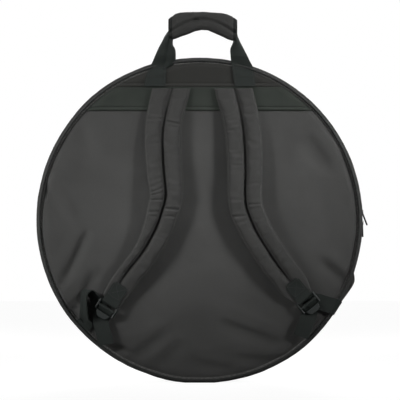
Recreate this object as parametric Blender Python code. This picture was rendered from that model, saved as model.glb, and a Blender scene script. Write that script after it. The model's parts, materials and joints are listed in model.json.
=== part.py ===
"""A round padded cymbal bag with two backpack straps, a carry handle and a two-way zip.

The bag stands on its rim, upright along +Z. Its back panel, with the straps, faces -Y,
and its front panel, which opens, faces +Y. The origin is on the flat of the rim.
"""

import math

import bmesh
import bpy
from mathutils import Matrix, Vector

# Driving sizes of the whole bag, in metres
BAG_DIAMETER = 0.590
BAG_DEPTH = 0.070
FOOT_SAG = 0.0015
FIT_GAP = 0.0003
ROUND_STEPS = 56
TURN_APART_DEG = 0.4

# Cloth, padding and trim
SHELL_CLOTH = 0.0014
LINING_CLOTH = 0.0010
OVERLAY_CLOTH = 0.0012
PANEL_FOAM = 0.010
GUSSET_FOAM = 0.0084
PIPING_WIDTH = 0.0050
PIPING_BELOW_RIM = 0.0071
PIPING_PROUD = 0.0007
RIM_EDGE_CHAMFER = 0.0044
SEAM_TAPE_WIDTH = 0.0035
SEAM_TAPE_THICK = 0.0018

# Zip
ZIP_BELOW_FRONT = 0.020
ZIP_COIL_SPLIT = 0.0012
ZIP_COIL_WIDTH = 0.0019
ZIP_COIL_THICK = 0.0026
ZIP_TAPE_WIDTH = 0.0062
ZIP_TAPE_THICK = 0.0012
ZIP_CHANNEL_WIDTH = 0.0100
ZIP_LOW_LEFT_DEG = 240.0
ZIP_LOW_RIGHT_DEG = -60.0
GARAGE_LENGTH = 0.022
GARAGE_WIDTH = 0.012
SLIDER_LENGTH = 0.014
SLIDER_WIDTH = 0.0075
SLIDER_PLATE = 0.0016
SLIDER_NECK = 0.0007
SLIDER_PLAY = 0.0006
SLIDER_TAPER_SHARE = 0.33
BRIDGE_LENGTH = 0.0080
BRIDGE_WIDTH = 0.0018
BRIDGE_BAR = 0.0010
BRIDGE_EYE = 0.0024
PULL_LENGTH = 0.026
PULL_WIDTH = 0.0062
PULL_THICK = 0.0014
PULL_EYE = 0.0045
PULL_TIP = 0.002
PULL_TIP_SHARE = 0.8
UPPER_SLIDER_DEG = 2.9
LOWER_SLIDER_DEG = -0.9
UPPER_PULL_OUT_DEG = 21.0
LOWER_PULL_OUT_DEG = 2.0

# Reinforcement across the back panel
YOKE_HEIGHT = 0.0441
BAND_HEIGHT = 0.0426
YOKE_STEPS = 14

# Carry handle
WEBBING_THICK = 0.0015
HANDLE_WEBBING_WIDTH = 0.038
HANDLE_CORE_WIDTH = 0.022
HANDLE_NECK_WIDTH = 0.009
HANDLE_AXIS_ABOVE_RIM = 0.0015
HANDLE_CENTRE_X = 0.006
HANDLE_HINGE_GAP = 0.0009
HANDLE_FRONT_LAYER_UP = 0.008
HANDLE_LINE_STEPS = 40
GRIP_LENGTH = 0.124
GRIP_HEIGHT = 0.034
GRIP_DEPTH = 0.026
GRIP_WALL = 0.0085
GRIP_ARCH = 0.009
GRIP_CENTRE_ABOVE_RIM = 0.0605
GRIP_FLAP_THICK = 0.0045
GRIP_TAPE_THICK = 0.0010
GRIP_BINDING_WIDTH = 0.006
GRIP_TAPE_WIDTH = 0.0044

# Shoulder straps
STRAP_WIDTH = 0.068
STRAP_THICK = 0.014
STRAP_STANDOFF = 0.012
STRAP_BELOW_YOKE = 0.003
STRAP_STATIONS = 24
BINDING_WIDTH = 0.0030
BINDING_THICK = 0.0050
TAB_SIDE_PLAY = 0.0010

# Ladder lock buckles and lower webbing
LOCK_WIDTH = 0.040
LOCK_LENGTH = 0.034
LOCK_THICK = 0.0050
LOCK_BAR = 0.0045
LOCK_TOP_BAR = 0.0034
LOCK_RAIL = 0.0045
LOWER_WEBBING_WIDTH = 0.028
TAIL_LENGTH = 0.048
TAIL_LEAN_SHARES = {"left": 0.25, "right": -0.40}
TAIL_ANCHOR_SHARE = 0.45
WEBBING_UNDER_LOCK_SHARE = 0.55
TONGUE_SHARES = (0.42, 0.68)

# Wings that anchor the lower webbing on the side wall
WING_DEPTH = 0.031
WING_THIN = 0.0012
WING_RISE_SHARES = (0.15, 0.9, 1.0, 0.72, 0.45, 0.0)
WING_START_DEPTH_SHARE = 0.55

# Derived places
RADIUS = BAG_DIAMETER / 2
CENTRE_Z = RADIUS - FOOT_SAG
BACK_FACE = -BAG_DEPTH / 2
ZIP_CENTRE_Y = BAG_DEPTH / 2 - ZIP_BELOW_FRONT
PIPING_RADIUS = RADIUS - PIPING_BELOW_RIM
PANEL_RADIUS = PIPING_RADIUS - PIPING_WIDTH / 2 - FIT_GAP
PIPING_Y = BAG_DEPTH / 2 - PIPING_WIDTH / 2 + PIPING_PROUD
GUSSET_EDGE_Y = PIPING_Y - PIPING_WIDTH / 2 - FIT_GAP
GUSSET_EDGE_RADIUS = RADIUS - RIM_EDGE_CHAMFER
SPLIT_HALF = ZIP_COIL_SPLIT / 2
TAPE_EDGE_Y = SPLIT_HALF + ZIP_COIL_WIDTH + FIT_GAP
BAND_END_Y = TAPE_EDGE_Y + ZIP_TAPE_WIDTH + FIT_GAP
CHANNEL_HALF = ZIP_CHANNEL_WIDTH / 2
FOAM_OUTER_RADIUS = RADIUS - SHELL_CLOTH - FIT_GAP
FOAM_INNER_RADIUS = FOAM_OUTER_RADIUS - GUSSET_FOAM
LINING_INNER_RADIUS = FOAM_INNER_RADIUS - FIT_GAP - LINING_CLOTH
PANEL_FOAM_FACE = BACK_FACE + SHELL_CLOTH + FIT_GAP
PANEL_LINING_FACE = PANEL_FOAM_FACE + PANEL_FOAM + FIT_GAP
PANEL_INSIDE = PANEL_LINING_FACE + LINING_CLOTH
BAND_TOP = PANEL_RADIUS - YOKE_HEIGHT
STRAP_TOP = BAND_TOP - STRAP_BELOW_YOKE
HANDLE_AXIS = RADIUS + HANDLE_AXIS_ABOVE_RIM
GRIP_CENTRE = RADIUS + GRIP_CENTRE_ABOVE_RIM
OVERLAY_FACE = BACK_FACE - FIT_GAP - OVERLAY_CLOTH
SEWN_FACE = OVERLAY_FACE - FIT_GAP
COIL_OUTER_RADIUS = RADIUS
COIL_INNER_RADIUS = RADIUS - ZIP_COIL_THICK
TAPE_OUTER_RADIUS = RADIUS - SHELL_CLOTH + ZIP_TAPE_THICK

# Centre lines of the straps from the bag's centre, as shares of its radius across and of
# the height of the straps' tops, and along them the width and the height off the panel
LEFT_STRAP_SHARES = (
    (-0.170, 1.0000),
    (-0.209, 0.8007),
    (-0.222, 0.6185),
    (-0.212, 0.3768),
    (-0.200, 0.1946),
    (-0.222, 0.0731),
    (-0.256, -0.0669),
    (-0.325, -0.2417),
    (-0.408, -0.3780),
    (-0.474, -0.4859),
    (-0.530, -0.5925),
)
RIGHT_STRAP_SHARES = (
    (0.205, 1.0000),
    (0.248, 0.8007),
    (0.269, 0.6185),
    (0.277, 0.3768),
    (0.277, 0.1748),
    (0.296, 0.0533),
    (0.358, -0.1078),
    (0.452, -0.2900),
    (0.520, -0.4028),
    (0.574, -0.4871),
    (0.622, -0.5603),
)
LEFT_WIDTH_SHARES = (1.0, 0.97, 0.96, 0.95, 0.88, 0.84, 0.78, 0.69, 0.66, 0.64, 0.56)
RIGHT_WIDTH_SHARES = (1.0, 0.97, 0.96, 0.93, 0.90, 0.88, 0.85, 0.83, 0.81, 0.78, 0.58)
STANDOFF_SHARES = (0.0, 0.12, 0.40, 0.75, 1.0, 1.0, 0.95, 0.85, 0.75, 0.68, 0.62)
THICKNESS_SHARES = (0.55, 0.9, 1.0, 1.0, 1.0, 1.0, 1.0, 1.0, 0.85, 0.46, 0.36)
# Cross-section of a strap: place across it and height, as shares of width and thickness
STRAP_SECTION_SHARES = (
    (-0.50, 0.0),
    (-0.50, 0.40),
    (-0.42, 0.82),
    (-0.26, 1.0),
    (-0.09, 0.84),
    (0.0, 0.42),
    (0.09, 0.84),
    (0.26, 1.0),
    (0.42, 0.82),
    (0.50, 0.40),
    (0.50, 0.0),
)
STRAP_CHANNEL_POINT = 5


def clear_scene():
    """Start from an empty scene, whatever file is open."""
    for old in list(bpy.data.objects):
        bpy.data.objects.remove(old, do_unlink=True)


def finish(name, colour, roughness, metallic=0.0):
    """A plain surface finish in the colour of the real material."""
    material = bpy.data.materials.new(name)
    material.use_nodes = True
    shader = material.node_tree.nodes["Principled BSDF"]
    shader.inputs["Base Color"].default_value = (*colour, 1.0)
    shader.inputs["Roughness"].default_value = roughness
    shader.inputs["Metallic"].default_value = metallic
    material.diffuse_color = (*colour, 1.0)
    return material


def make_finishes():
    """The bag's materials, all near black, told apart by their sheen."""
    return {
        "shell": finish("shell_cloth", (0.055, 0.056, 0.057), 0.82),
        "strap": finish("strap_cloth", (0.048, 0.049, 0.050), 0.86),
        "webbing": finish("webbing", (0.030, 0.034, 0.032), 0.78),
        "trim": finish("edge_tape", (0.060, 0.061, 0.062), 0.70),
        "foam": finish("foam", (0.30, 0.30, 0.29), 0.95),
        "lining": finish("lining", (0.10, 0.10, 0.105), 0.75),
        "coil": finish("zip_coil", (0.02, 0.02, 0.02), 0.45),
        "plastic": finish("buckle_plastic", (0.022, 0.024, 0.024), 0.35),
        "metal": finish("slider_metal", (0.07, 0.07, 0.07), 0.35, 0.8),
        "hook": finish("hook_and_loop", (0.025, 0.025, 0.025), 0.95),
    }


def solid(name, points, faces, material, pivot=(0.0, 0.0, 0.0), smooth=True):
    """A closed body from world points, with its origin at the pivot."""
    place = Vector(pivot)
    mesh = bpy.data.meshes.new(name)
    mesh.from_pydata([Vector(p) - place for p in points], [], faces)
    work = bmesh.new()
    work.from_mesh(mesh)
    bmesh.ops.recalc_face_normals(work, faces=work.faces)
    if work.calc_volume(signed=True) < 0:
        bmesh.ops.reverse_faces(work, faces=work.faces)
    work.to_mesh(mesh)
    work.free()
    if smooth:
        mesh.shade_smooth()
        mesh.set_sharp_from_angle(angle=math.radians(40.0))
    mesh.materials.append(material)
    body = bpy.data.objects.new(name, mesh)
    body.location = place
    bpy.context.scene.collection.objects.link(body)
    return body


def loft(name, loops, material, closed=False, pivot=(0.0, 0.0, 0.0)):
    """A body through closed loops of points, capped at both ends unless it closes on itself."""
    size = len(loops[0])
    points = [p for loop in loops for p in loop]
    faces = []
    spans = len(loops) if closed else len(loops) - 1
    for row in range(spans):
        near = row * size
        far = ((row + 1) % len(loops)) * size
        for k in range(size):
            n = (k + 1) % size
            faces.append((near + k, near + n, far + n, far + k))
    if not closed:
        faces.append(tuple(range(size)))
        faces.append(tuple(range(len(points) - size, len(points))))
    return solid(name, points, faces, material, pivot)


def extrude(name, outline, origin, across, up, along, low, high, material, pivot=(0.0, 0.0, 0.0)):
    """An outline in the plane of across and up, drawn out along the third direction."""
    start = Vector(origin)
    loops = []
    for reach in (low, high):
        loops.append([start + across * u + up * v + along * reach for u, v in outline])
    return loft(name, loops, material, pivot=pivot)


def cells(name, lines, filled, place, material, pivot=(0.0, 0.0, 0.0)):
    """A body made of the filled boxes of a grid; place turns grid values into a point."""
    count = [len(line) - 1 for line in lines]

    def is_filled(i, j, k):
        inside = 0 <= i < count[0] and 0 <= j < count[1] and 0 <= k < count[2]
        return inside and filled(i, j, k)

    points, index, faces = [], {}, []

    def corner(i, j, k):
        if (i, j, k) not in index:
            index[(i, j, k)] = len(points)
            points.append(place(lines[0][i], lines[1][j], lines[2][k]))
        return index[(i, j, k)]

    sides = (
        ((-1, 0, 0), ((0, 0, 0), (0, 0, 1), (0, 1, 1), (0, 1, 0))),
        ((1, 0, 0), ((1, 0, 0), (1, 1, 0), (1, 1, 1), (1, 0, 1))),
        ((0, -1, 0), ((0, 0, 0), (1, 0, 0), (1, 0, 1), (0, 0, 1))),
        ((0, 1, 0), ((0, 1, 0), (0, 1, 1), (1, 1, 1), (1, 1, 0))),
        ((0, 0, -1), ((0, 0, 0), (0, 1, 0), (1, 1, 0), (1, 0, 0))),
        ((0, 0, 1), ((0, 0, 1), (1, 0, 1), (1, 1, 1), (0, 1, 1))),
    )
    for i in range(count[0]):
        for j in range(count[1]):
            for k in range(count[2]):
                if not is_filled(i, j, k):
                    continue
                for step, square in sides:
                    if is_filled(i + step[0], j + step[1], k + step[2]):
                        continue
                    faces.append(tuple(corner(i + a, j + b, k + c) for a, b, c in square))
    return solid(name, points, faces, material, pivot, smooth=False)


def smooth_values(values, count):
    """Values read off a smooth curve through the given ones, evenly along it."""
    rows = [Vector(v) if isinstance(v, (tuple, list, Vector)) else v for v in values]
    last = len(rows) - 1
    result = []
    for step in range(count):
        at = step / (count - 1) * last
        i = min(int(at), last - 1)
        t = at - i
        p0, p1 = rows[max(i - 1, 0)], rows[i]
        p2, p3 = rows[i + 1], rows[min(i + 2, last)]
        a = p1 * 2.0
        b = (p2 - p0) * t
        c = (p0 * 2.0 - p1 * 5.0 + p2 * 4.0 - p3) * (t * t)
        d = (p1 * 3.0 - p0 - p2 * 3.0 + p3) * (t * t * t)
        result.append((a + b + c + d) * 0.5)
    return result


def rim_point(radius, turn, y):
    """A point on the bag's round at an angle from +X, flattened where the bag stands."""
    x = radius * math.cos(turn)
    z = CENTRE_Z + radius * math.sin(turn)
    return Vector((x, y, max(z, RADIUS - radius)))


def full_turns():
    """Angles round the whole rim, with a point at each end of its flat."""
    corner = math.acos(CENTRE_Z / RADIUS)
    start = -math.pi / 2 + corner
    sweep = 2 * math.pi - 2 * corner
    turns = [start + sweep * k / ROUND_STEPS for k in range(ROUND_STEPS + 1)]
    return turns + [1.5 * math.pi]


def part_turns(low_deg, high_deg):
    """Angles along part of the rim: its two ends and the whole rim's own points between."""
    low, high = math.radians(low_deg), math.radians(high_deg)
    close = math.radians(TURN_APART_DEG)
    between = []
    for turn in full_turns():
        for lap in (-2 * math.pi, 0.0, 2 * math.pi):
            if low + close < turn + lap < high - close:
                between.append(turn + lap)
    return [low] + sorted(between) + [high]


def ring(name, section, material, turns=None):
    """A section in depth and radius, taken round the rim; the whole way if no turns are given."""
    angles = turns or full_turns()
    loops = [[rim_point(r, turn, y) for y, r in section] for turn in angles]
    return loft(name, loops, material, closed=turns is None)


def band_section(low_y, high_y, inner, outer):
    """A flat band's section between two depths and two radii."""
    return ((low_y, inner), (low_y, outer), (high_y, outer), (high_y, inner))


def mirror_y(section):
    """The same section on the other side of the bag's middle plane."""
    return tuple((-y, r) for y, r in section)


def disc(name, low_y, high_y, radius, material):
    """A flat round layer with the rim's flattened foot."""
    outline = [rim_point(radius, turn, 0.0) for turn in full_turns()]
    loops = [[Vector((p.x, y, p.z)) for p in outline] for y in (low_y, high_y)]
    return loft(name, loops, material)


def make_panels(finishes):
    """Both round panels: an outer cloth, a foam pad and a lining each."""
    for side, sign in (("back", 1.0), ("front", -1.0)):
        cloth = sorted((sign * BACK_FACE, sign * (BACK_FACE + SHELL_CLOTH)))
        disc(f"{side}_panel_cloth", *cloth, PANEL_RADIUS, finishes["shell"])
        foam = sorted((sign * PANEL_FOAM_FACE, sign * (PANEL_FOAM_FACE + PANEL_FOAM)))
        disc(f"{side}_panel_foam", *foam, FOAM_INNER_RADIUS - FIT_GAP, finishes["foam"])
        lining = sorted((sign * PANEL_LINING_FACE, sign * PANEL_INSIDE))
        disc(f"{side}_panel_lining", *lining, FOAM_INNER_RADIUS - FIT_GAP, finishes["lining"])


def make_piping(finishes):
    """The covered cord in the seam round each panel."""
    half = PIPING_WIDTH / 2
    corner = half * math.tan(math.radians(22.5))
    shape = (
        (-half, -corner), (-half, corner), (-corner, half), (corner, half),
        (half, corner), (half, -corner), (corner, -half), (-corner, -half),
    )
    for side, sign in (("back", -1.0), ("front", 1.0)):
        section = [(sign * PIPING_Y + y, PIPING_RADIUS + r) for y, r in shape]
        ring(f"{side}_piping", section, finishes["trim"])


def edge_section(end_y):
    """The side wall's cloth from its sewn edge, at -Y, to where it stops."""
    return (
        (-GUSSET_EDGE_Y, GUSSET_EDGE_RADIUS),
        (RIM_EDGE_CHAMFER - GUSSET_EDGE_Y, RADIUS),
        (end_y, RADIUS),
        (end_y, RADIUS - SHELL_CLOTH),
        (RIM_EDGE_CHAMFER - GUSSET_EDGE_Y, RADIUS - SHELL_CLOTH),
        (-GUSSET_EDGE_Y, GUSSET_EDGE_RADIUS - SHELL_CLOTH),
    )


def make_side_wall(finishes):
    """The side wall: a wide band on the back half, a narrow one on the front half."""
    zip_turns = part_turns(ZIP_LOW_RIGHT_DEG, ZIP_LOW_LEFT_DEG)
    foam_start = -GUSSET_EDGE_Y + FIT_GAP
    foam_end = ZIP_CENTRE_Y - CHANNEL_HALF
    back_cloth_end = ZIP_CENTRE_Y - BAND_END_Y
    ring("side_wall_cloth", edge_section(back_cloth_end), finishes["shell"])
    foam = band_section(foam_start, foam_end, FOAM_INNER_RADIUS, FOAM_OUTER_RADIUS)
    ring("side_wall_foam", cut_corner(foam), finishes["foam"])
    lining_start = PANEL_INSIDE + FIT_GAP
    lining_outer = LINING_INNER_RADIUS + LINING_CLOTH
    lining = band_section(lining_start, foam_end, LINING_INNER_RADIUS, lining_outer)
    ring("side_wall_lining", lining, finishes["lining"])
    tape_outer = LINING_INNER_RADIUS - FIT_GAP
    tape = band_section(
        lining_start, lining_start + SEAM_TAPE_WIDTH, tape_outer - SEAM_TAPE_THICK, tape_outer
    )
    ring("inner_seam_tape_back", tape, finishes["trim"])
    front_start = ZIP_CENTRE_Y + BAND_END_Y
    front = mirror_y(edge_section(-front_start))
    ring("front_edge_cloth", front, finishes["shell"], zip_turns)
    front_foam = band_section(-foam_start, ZIP_CENTRE_Y + CHANNEL_HALF,
                              FOAM_INNER_RADIUS, FOAM_OUTER_RADIUS)
    ring("front_edge_foam", cut_corner(front_foam), finishes["foam"], zip_turns)
    front_tape = band_section(
        -lining_start, -lining_start - SEAM_TAPE_WIDTH, tape_outer - SEAM_TAPE_THICK, tape_outer
    )
    ring("inner_seam_tape_front", front_tape, finishes["trim"], zip_turns)


def cut_corner(section):
    """The padding's outer corner at the sewn edge, cut back along the slope of the cloth."""
    (near, inner), (_, outer), (far, _), _ = section
    toward = 1.0 if far > near else -1.0
    return (
        (near, inner),
        (near, outer - RIM_EDGE_CHAMFER),
        (near + toward * RIM_EDGE_CHAMFER, outer),
        (far, outer),
        (far, inner),
    )


def make_hinge_strip(finishes):
    """The strip of cloth at the bottom, without a zip, that the front panel hinges on."""
    low = ZIP_LOW_LEFT_DEG + math.degrees(FIT_GAP / RADIUS)
    high = 360.0 + ZIP_LOW_RIGHT_DEG - math.degrees(FIT_GAP / RADIUS)
    turns = part_turns(low, high)
    section = mirror_y(edge_section(-(ZIP_CENTRE_Y - BAND_END_Y + FIT_GAP)))
    ring("bottom_hinge_strip", section, finishes["shell"], turns)


def make_zip(finishes):
    """Both halves of the zip, a tape and a coil each, and the tabs over its two ends."""
    turns = part_turns(ZIP_LOW_RIGHT_DEG, ZIP_LOW_LEFT_DEG)
    for side, sign in (("back", -1.0), ("front", 1.0)):
        near = ZIP_CENTRE_Y + sign * SPLIT_HALF
        far = near + sign * ZIP_COIL_WIDTH
        coil = band_section(near, far, COIL_INNER_RADIUS, COIL_OUTER_RADIUS)
        ring(f"zip_coil_{side}", coil, finishes["coil"], turns)
        sewn = ZIP_CENTRE_Y + sign * (TAPE_EDGE_Y + ZIP_TAPE_WIDTH)
        tape = band_section(
            ZIP_CENTRE_Y + sign * TAPE_EDGE_Y, sewn,
            TAPE_OUTER_RADIUS - ZIP_TAPE_THICK, TAPE_OUTER_RADIUS,
        )
        ring(f"zip_tape_{side}", tape, finishes["webbing"], turns)
    span = math.degrees(GARAGE_LENGTH / RADIUS)
    garage = band_section(
        ZIP_CENTRE_Y - GARAGE_WIDTH / 2, ZIP_CENTRE_Y + GARAGE_WIDTH / 2,
        RADIUS + FIT_GAP, RADIUS + FIT_GAP + OVERLAY_CLOTH,
    )
    for side, middle in (("left", ZIP_LOW_LEFT_DEG), ("right", ZIP_LOW_RIGHT_DEG)):
        ring(f"zip_end_tab_{side}", garage, finishes["trim"],
             part_turns(middle - span / 2, middle + span / 2))


def rim_frame(angle_deg):
    """At a place on the rim: outward and forward-along directions."""
    turn = math.radians(angle_deg)
    return Vector((math.cos(turn), 0.0, math.sin(turn))), Vector((-math.sin(turn), 0.0, math.cos(turn)))


def make_slider(name, angle_deg, finishes):
    """A slider: plates outside and inside the coils, a neck between them and a bridge."""
    outward, along = rim_frame(angle_deg)
    under = COIL_INNER_RADIUS - SLIDER_PLAY
    over = COIL_OUTER_RADIUS + SLIDER_PLAY
    eye_low = over + SLIDER_PLATE
    eye_high = eye_low + BRIDGE_EYE
    half, bridge = SLIDER_LENGTH / 2, BRIDGE_LENGTH / 2
    lines = (
        (-half, -bridge, BRIDGE_BAR - bridge, bridge - BRIDGE_BAR, bridge, half),
        (-SLIDER_WIDTH / 2, -BRIDGE_WIDTH / 2, -SLIDER_NECK / 2,
         SLIDER_NECK / 2, BRIDGE_WIDTH / 2, SLIDER_WIDTH / 2),
        (under - SLIDER_PLATE, under, over, eye_low, eye_high, eye_high + BRIDGE_BAR),
    )

    def filled(i, j, k):
        if k in (0, 2):
            return True
        if k == 1:
            return j == 2 and 1 <= i <= 3
        if k == 3:
            return 1 <= j <= 3 and i in (1, 3)
        return 1 <= j <= 3 and 1 <= i <= 3

    def place(t, y, r):
        taper = 1.0 - SLIDER_TAPER_SHARE * abs(t) / half
        return Vector((0.0, ZIP_CENTRE_Y + y * taper, CENTRE_Z)) + outward * r + along * t

    cells(name, lines, filled, place, finishes["metal"], (0.0, ZIP_CENTRE_Y, CENTRE_Z))


def make_pull(name, angle_deg, out_deg, finishes):
    """A pull: a ring round the slider's bridge and a flat tab that hangs from it."""
    outward, along = rim_frame(angle_deg)
    pivot_radius = COIL_OUTER_RADIUS + SLIDER_PLAY + SLIDER_PLATE + BRIDGE_EYE / 2
    pivot = Vector((0.0, ZIP_CENTRE_Y, CENTRE_Z)) + outward * pivot_radius
    lean = math.radians(out_deg)
    down = Vector((math.sin(lean), 0.0, -math.cos(lean)))
    face = Vector((math.cos(lean), 0.0, math.sin(lean)))
    half = PULL_THICK / 2
    arm = BRIDGE_WIDTH / 2 + SLIDER_PLAY
    lines = (
        (-half, half, PULL_EYE, PULL_LENGTH - PULL_TIP, PULL_LENGTH),
        (-PULL_WIDTH / 2, -arm, arm, PULL_WIDTH / 2),
        (-half, half),
    )

    def filled(i, j, k):
        return i != 1 or j != 1

    def place(s, y, t):
        narrow = PULL_TIP_SHARE if s >= PULL_LENGTH else 1.0
        return pivot + down * s + face * t + Vector((0.0, y * narrow, 0.0))

    cells(name, lines, filled, place, finishes["metal"], pivot)


def chord_outline(radius, low, high):
    """The part of a round between two heights above its centre, as x and height."""
    points = []
    first, last = math.asin(low / radius), math.asin(min(high / radius, 1.0))
    for k in range(YOKE_STEPS + 1):
        turn = first + (last - first) * k / YOKE_STEPS
        points.append((radius * math.cos(turn), radius * math.sin(turn)))
    return points + [(-x, z) for x, z in reversed(points) if x > FIT_GAP]


def make_overlays(finishes):
    """The yoke over the top of the back panel and the reinforcing band below it."""
    right, up, back = Vector((1, 0, 0)), Vector((0, 0, 1)), Vector((0, -1, 0))
    face = (0.0, BACK_FACE, CENTRE_Z)
    radius = PANEL_RADIUS - FIT_GAP
    yoke = chord_outline(radius, BAND_TOP + FIT_GAP, radius)
    extrude("top_yoke", yoke, face, right, up, back,
            FIT_GAP, FIT_GAP + OVERLAY_CLOTH, finishes["shell"])
    band = chord_outline(radius, BAND_TOP - BAND_HEIGHT, BAND_TOP)
    extrude("reinforcement_band", band, face, right, up, back,
            FIT_GAP, FIT_GAP + OVERLAY_CLOTH, finishes["webbing"])


# Centre line of each side of the carry handle's webbing, as x and height above the top of
# the rim in metres: the sewn end, the rim and the end of the grip
HANDLE_SIDES = {
    "left": (
        (-0.0800, -0.0530), (-0.0790, -0.0230), (-0.0715, -0.0020), (-0.0665, 0.0210), (-0.0638, 0.0410)
    ),
    "right": (
        (0.0830, -0.0530), (0.0795, -0.0250), (0.0765, -0.0070), (0.0775, 0.0160), (0.0758, 0.0410)
    ),
}


def arch_height(x):
    """Height of the grip's middle above the bag's centre at a place along it."""
    share = (x - HANDLE_CENTRE_X) / (GRIP_LENGTH / 2)
    return GRIP_CENTRE - GRIP_ARCH * share * share


def side_places(side, low, high, count):
    """Points along one side of the webbing between two heights, with its half width."""
    line = smooth_values(HANDLE_SIDES[side], HANDLE_LINE_STEPS)
    whole = HANDLE_SIDES[side][-1][1] + RADIUS - BAND_TOP
    places = []
    for k in range(count):
        height = low + (high - low) * k / (count - 1)
        best = min(line, key=lambda p: abs(p[1] + RADIUS - height))
        share = (height - BAND_TOP) / whole
        width = HANDLE_WEBBING_WIDTH + (HANDLE_NECK_WIDTH - HANDLE_WEBBING_WIDTH) * share ** 2
        places.append((best[0], height, width / 2))
    return places


def handle_pivot():
    """The middle of the line on which the handle folds, in its back layer."""
    y = SEWN_FACE - 1.5 * WEBBING_THICK - FIT_GAP
    return (HANDLE_CENTRE_X, y, CENTRE_Z + HANDLE_AXIS)


def make_handle(finishes):
    """The carry handle: sewn ends, two layers of webbing, a padded wrap and its flap."""
    right, up, back = Vector((1, 0, 0)), Vector((0, 0, 1)), Vector((0, -1, 0))
    centre = (0.0, 0.0, CENTRE_Z)
    split = HANDLE_AXIS
    layers = 2 * WEBBING_THICK + FIT_GAP
    seat = -SEWN_FACE
    for side in ("left", "right"):
        places = side_places(side, BAND_TOP + FIT_GAP, split - HANDLE_HINGE_GAP, 7)
        outline = [(x - w, z) for x, z, w in places] + [(x + w, z) for x, z, w in reversed(places)]
        extrude(f"handle_sewn_end_{side}", outline, centre, right, up, back,
                seat, seat + layers, finishes["webbing"])
    half_core = HANDLE_CORE_WIDTH / 2
    start = HANDLE_CENTRE_X - GRIP_LENGTH / 2
    top, bottom = [], []
    for k in range(9):
        x = start + GRIP_LENGTH * k / 8
        top.append((x, arch_height(x) + half_core))
        bottom.append((x, arch_height(x) - half_core))
    pivot = handle_pivot()
    layer_places = (
        ("handle_webbing_front", seat, split + HANDLE_FRONT_LAYER_UP),
        ("handle_webbing_back", seat + WEBBING_THICK + FIT_GAP, split),
    )
    for name, low, foot in layer_places:
        left = side_places("left", foot, arch_height(start) - half_core, 6)
        far = side_places("right", foot, arch_height(start) - half_core, 6)
        outline = [(x - w, z) for x, z, w in left] + top
        outline += [(x + w, z) for x, z, w in reversed(far)]
        outline += [(x - w, z) for x, z, w in far] + bottom[::-1]
        outline += [(x + w, z) for x, z, w in reversed(left)]
        extrude(name, outline, centre, right, up, back, low, low + WEBBING_THICK,
                finishes["webbing"], pivot)
    make_grip(finishes, seat + layers / 2, layers)


def make_grip(finishes, depth, layers):
    """The padded wrap round the webbing, open on the front side, and the flap that closes it."""
    pivot = handle_pivot()
    half_h, half_d = GRIP_HEIGHT / 2, GRIP_DEPTH / 2
    slot_h = HANDLE_CORE_WIDTH / 2 + FIT_GAP * 2
    slot_d = layers / 2 + FIT_GAP
    soft = GRIP_WALL / 2
    wrap = (
        (-half_d, half_h), (half_d - soft, half_h), (half_d, half_h - soft),
        (half_d, soft - half_h), (half_d - soft, -half_h), (-half_d, -half_h),
        (-half_d, -slot_h), (slot_d, -slot_h), (slot_d, slot_h), (-half_d, slot_h),
    )
    binding = GRIP_BINDING_WIDTH
    start, end = HANDLE_CENTRE_X - GRIP_LENGTH / 2, HANDLE_CENTRE_X + GRIP_LENGTH / 2

    def along(section, low, high, steps):
        loops = []
        for k in range(steps + 1):
            x = low + (high - low) * k / steps
            middle = CENTRE_Z + arch_height(x)
            loops.append([Vector((x, -depth - d, middle + h)) for d, h in section])
        return loops

    loft("grip_wrap", along(wrap, start + binding, end - binding, 8), finishes["strap"], pivot=pivot)
    ends = (("left", start, start + binding - FIT_GAP), ("right", end - binding + FIT_GAP, end))
    for side, low, high in ends:
        loft(f"grip_end_binding_{side}", along(wrap, low, high, 1), finishes["trim"], pivot=pivot)
    tape_face = -half_d - FIT_GAP
    lip = GRIP_TAPE_WIDTH
    loop_tape = (
        (tape_face, -half_h), (tape_face, lip - half_h),
        (tape_face - GRIP_TAPE_THICK, lip - half_h), (tape_face - GRIP_TAPE_THICK, -half_h),
    )
    inner_low, inner_high = start + 2 * binding, end - 2 * binding
    loft("grip_loop_tape", along(loop_tape, inner_low, inner_high, 8), finishes["hook"], pivot=pivot)
    hook_face = tape_face - GRIP_TAPE_THICK - FIT_GAP
    hook_tape = tuple((d - GRIP_TAPE_THICK - FIT_GAP, h) for d, h in loop_tape)
    flap_pivot = flap_hinge(depth, hook_face)
    loft("grip_hook_tape", along(hook_tape, inner_low, inner_high, 8), finishes["hook"], pivot=flap_pivot)
    flap_face = hook_face - GRIP_TAPE_THICK - FIT_GAP
    flap = (
        (flap_face, -half_h), (flap_face, half_h - soft),
        (flap_face - GRIP_FLAP_THICK / 2, half_h - soft),
        (flap_face - GRIP_FLAP_THICK, half_h - 2 * soft), (flap_face - GRIP_FLAP_THICK, -half_h),
    )
    loft("grip_flap", along(flap, start + binding, end - binding, 8), finishes["strap"], pivot=flap_pivot)


def flap_hinge(depth, hook_face):
    """Where the grip's flap turns: the top of its inner face, over the middle of the grip."""
    y = -depth - (hook_face - GRIP_TAPE_THICK - FIT_GAP)
    z = CENTRE_Z + GRIP_CENTRE + GRIP_HEIGHT / 2 - GRIP_WALL / 2
    return (HANDLE_CENTRE_X, y, z)


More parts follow.
